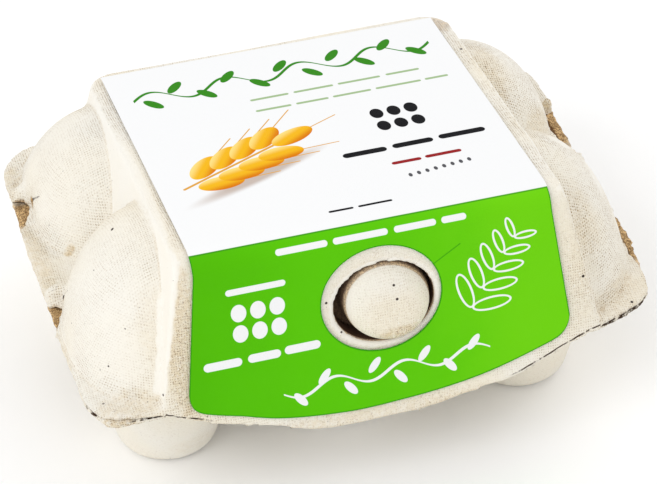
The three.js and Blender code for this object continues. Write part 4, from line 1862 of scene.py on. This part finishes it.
# %% [markdown]
# ## The label's material
#
# Matt paper with ink on it. The ground is white above the fold and green below it; then a list
# of masks and inks is laid over it, one after the other, as a printer would. The grains are
# shaded from light to deep, so that they look round. Fibres make a very small bump.

# %% Label material
def golden_grain(point, row):
    """A grain's mask, and its gold: light along its upper side, deep along its lower side."""
    mask, across, along = oval_at(point, *row)
    depth = across * 0.25 + along * -0.85
    gold = mixed(between(depth, -0.85, -0.1), GRAIN_LIGHT, GRAIN_GOLD)
    return mask, mixed(between(depth, 0.0, 0.85), gold, GRAIN_DEEP)


def motifs(point):
    """Each motif's mask and ink, in the order of printing, after a painted shade line along a
    crease in the paper.
    """
    # painted shade: a thin darker line along a crease in the paper
    yield bar_at(point, 17.6, -15.05, 4.6, 0.16, math.radians(29.4)) * 0.8, GREEN_LINE
    yield oval_at(point, -20.0, 27.0, 17.0, 2.4, 0.42, 9.0)[0] * 0.55, SHADOW_BROWN
    yield bars(point, STALKS), GRAIN_STALK
    for row in GRAINS:
        yield golden_grain(point, row)
    yield vine(point=point, **laid_at(0.0, 76.5, 0.04), half_length=41.0, swing=3.2,
               wavelength=20.5, width=1.2), LEAF_GREEN
    yield ovals(point, vine_leaves(0.0, 76.5, 40.0, 14.0, 3.3, 0.04)), LEAF_GREEN
    yield bars(point, PALE_WORDS), PALE_GREEN
    yield bars(point, BLACK_WORDS), BLACK
    yield bars(point, RED_WORDS), RED
    yield ovals(point, block_of_six(21.2, 43.0, 4.6, 6.6, 1.75, 2.5)), BLACK
    yield ovals(point, DOTS), GREY
    yield bars(point, FRONT_WORDS), WHITE
    yield ovals(point, block_of_six(-30.9, -22.6, 4.9, 5.6, 1.95, 2.35)), WHITE
    yield vine(point=point, **laid_at(0.5, -43.6, 0.03), half_length=27.0, swing=1.8,
               wavelength=18.0, width=0.9), WHITE
    yield ovals(point, vine_leaves(0.5, -43.6, 26.0, 13.0, 2.4, 0.03)), WHITE
    yield ovals(point, SPRAY) - ovals(point, SPRAY_INSIDE), WHITE


def label_paint(tree):
    place = millimetres(tree)
    point = scaled(node(tree, "UVMap", {}, "UV", uv_map="flat cut"), 1.0 / UV_PER_MM)
    u = calc("DOT_PRODUCT", point, (1.0, 0.0, 0.0))
    v = calc("DOT_PRODUCT", point, (0.0, 1.0, 0.0))
    uneven_u = noise_of(place, 0.06, 3.0) * 24.0 + u
    green = mixed(between(uneven_u, -44.0, 5.0), GREEN_LEFT, GREEN_MIDDLE)
    green = mixed(between(uneven_u, 10.0, 55.0), green, GREEN_RIGHT)
    from_fold = v - GREEN_FROM_V
    colour = mixed(between(from_fold, 0.08, -0.08), WHITE, green)
    colour = mixed(between(abs(from_fold + 0.2), 0.3, 0.12, 0.0, 0.7), colour, LEAF_GREEN)
    rim = oval_at(point, WINDOW["u"], WINDOW["v"], WINDOW["half_width"] + 0.3,
                  WINDOW["half_height"] + 0.3)[0]
    colour = mixed((1.0 - rim) * sheet_edge(u, v), GREEN_LINE, colour)
    for mask, ink in motifs(point):
        colour = mixed(mask, colour, ink)
    wrinkle = noise_of(place, 1.1, 3.0) * 0.25 + noise_of(place, 0.12)
    return colour, wrinkle, between(noise_of(place, 0.3, 3.0), 0.3, 0.7, 0.5, 0.68)


paper = coated("label paper", label_paint, specular=0.05, bump_mm=0.12, bump_strength=0.6)
label.data.materials.append(paper)
print("label material:", paper.name)

# %% [markdown]
# ## Onto the frame
#
# Every piece rides on the box's one body and stands for its imported solid, which is hidden.

# %% Ride and replace
for piece, node_name, slot in (
    (lid, "lid", "lid_pulp"),
    (tray, "tray", "tray_pulp"),
    (label, "label", "label_paper"),
):
    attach(piece, "root")
    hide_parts(node_name)
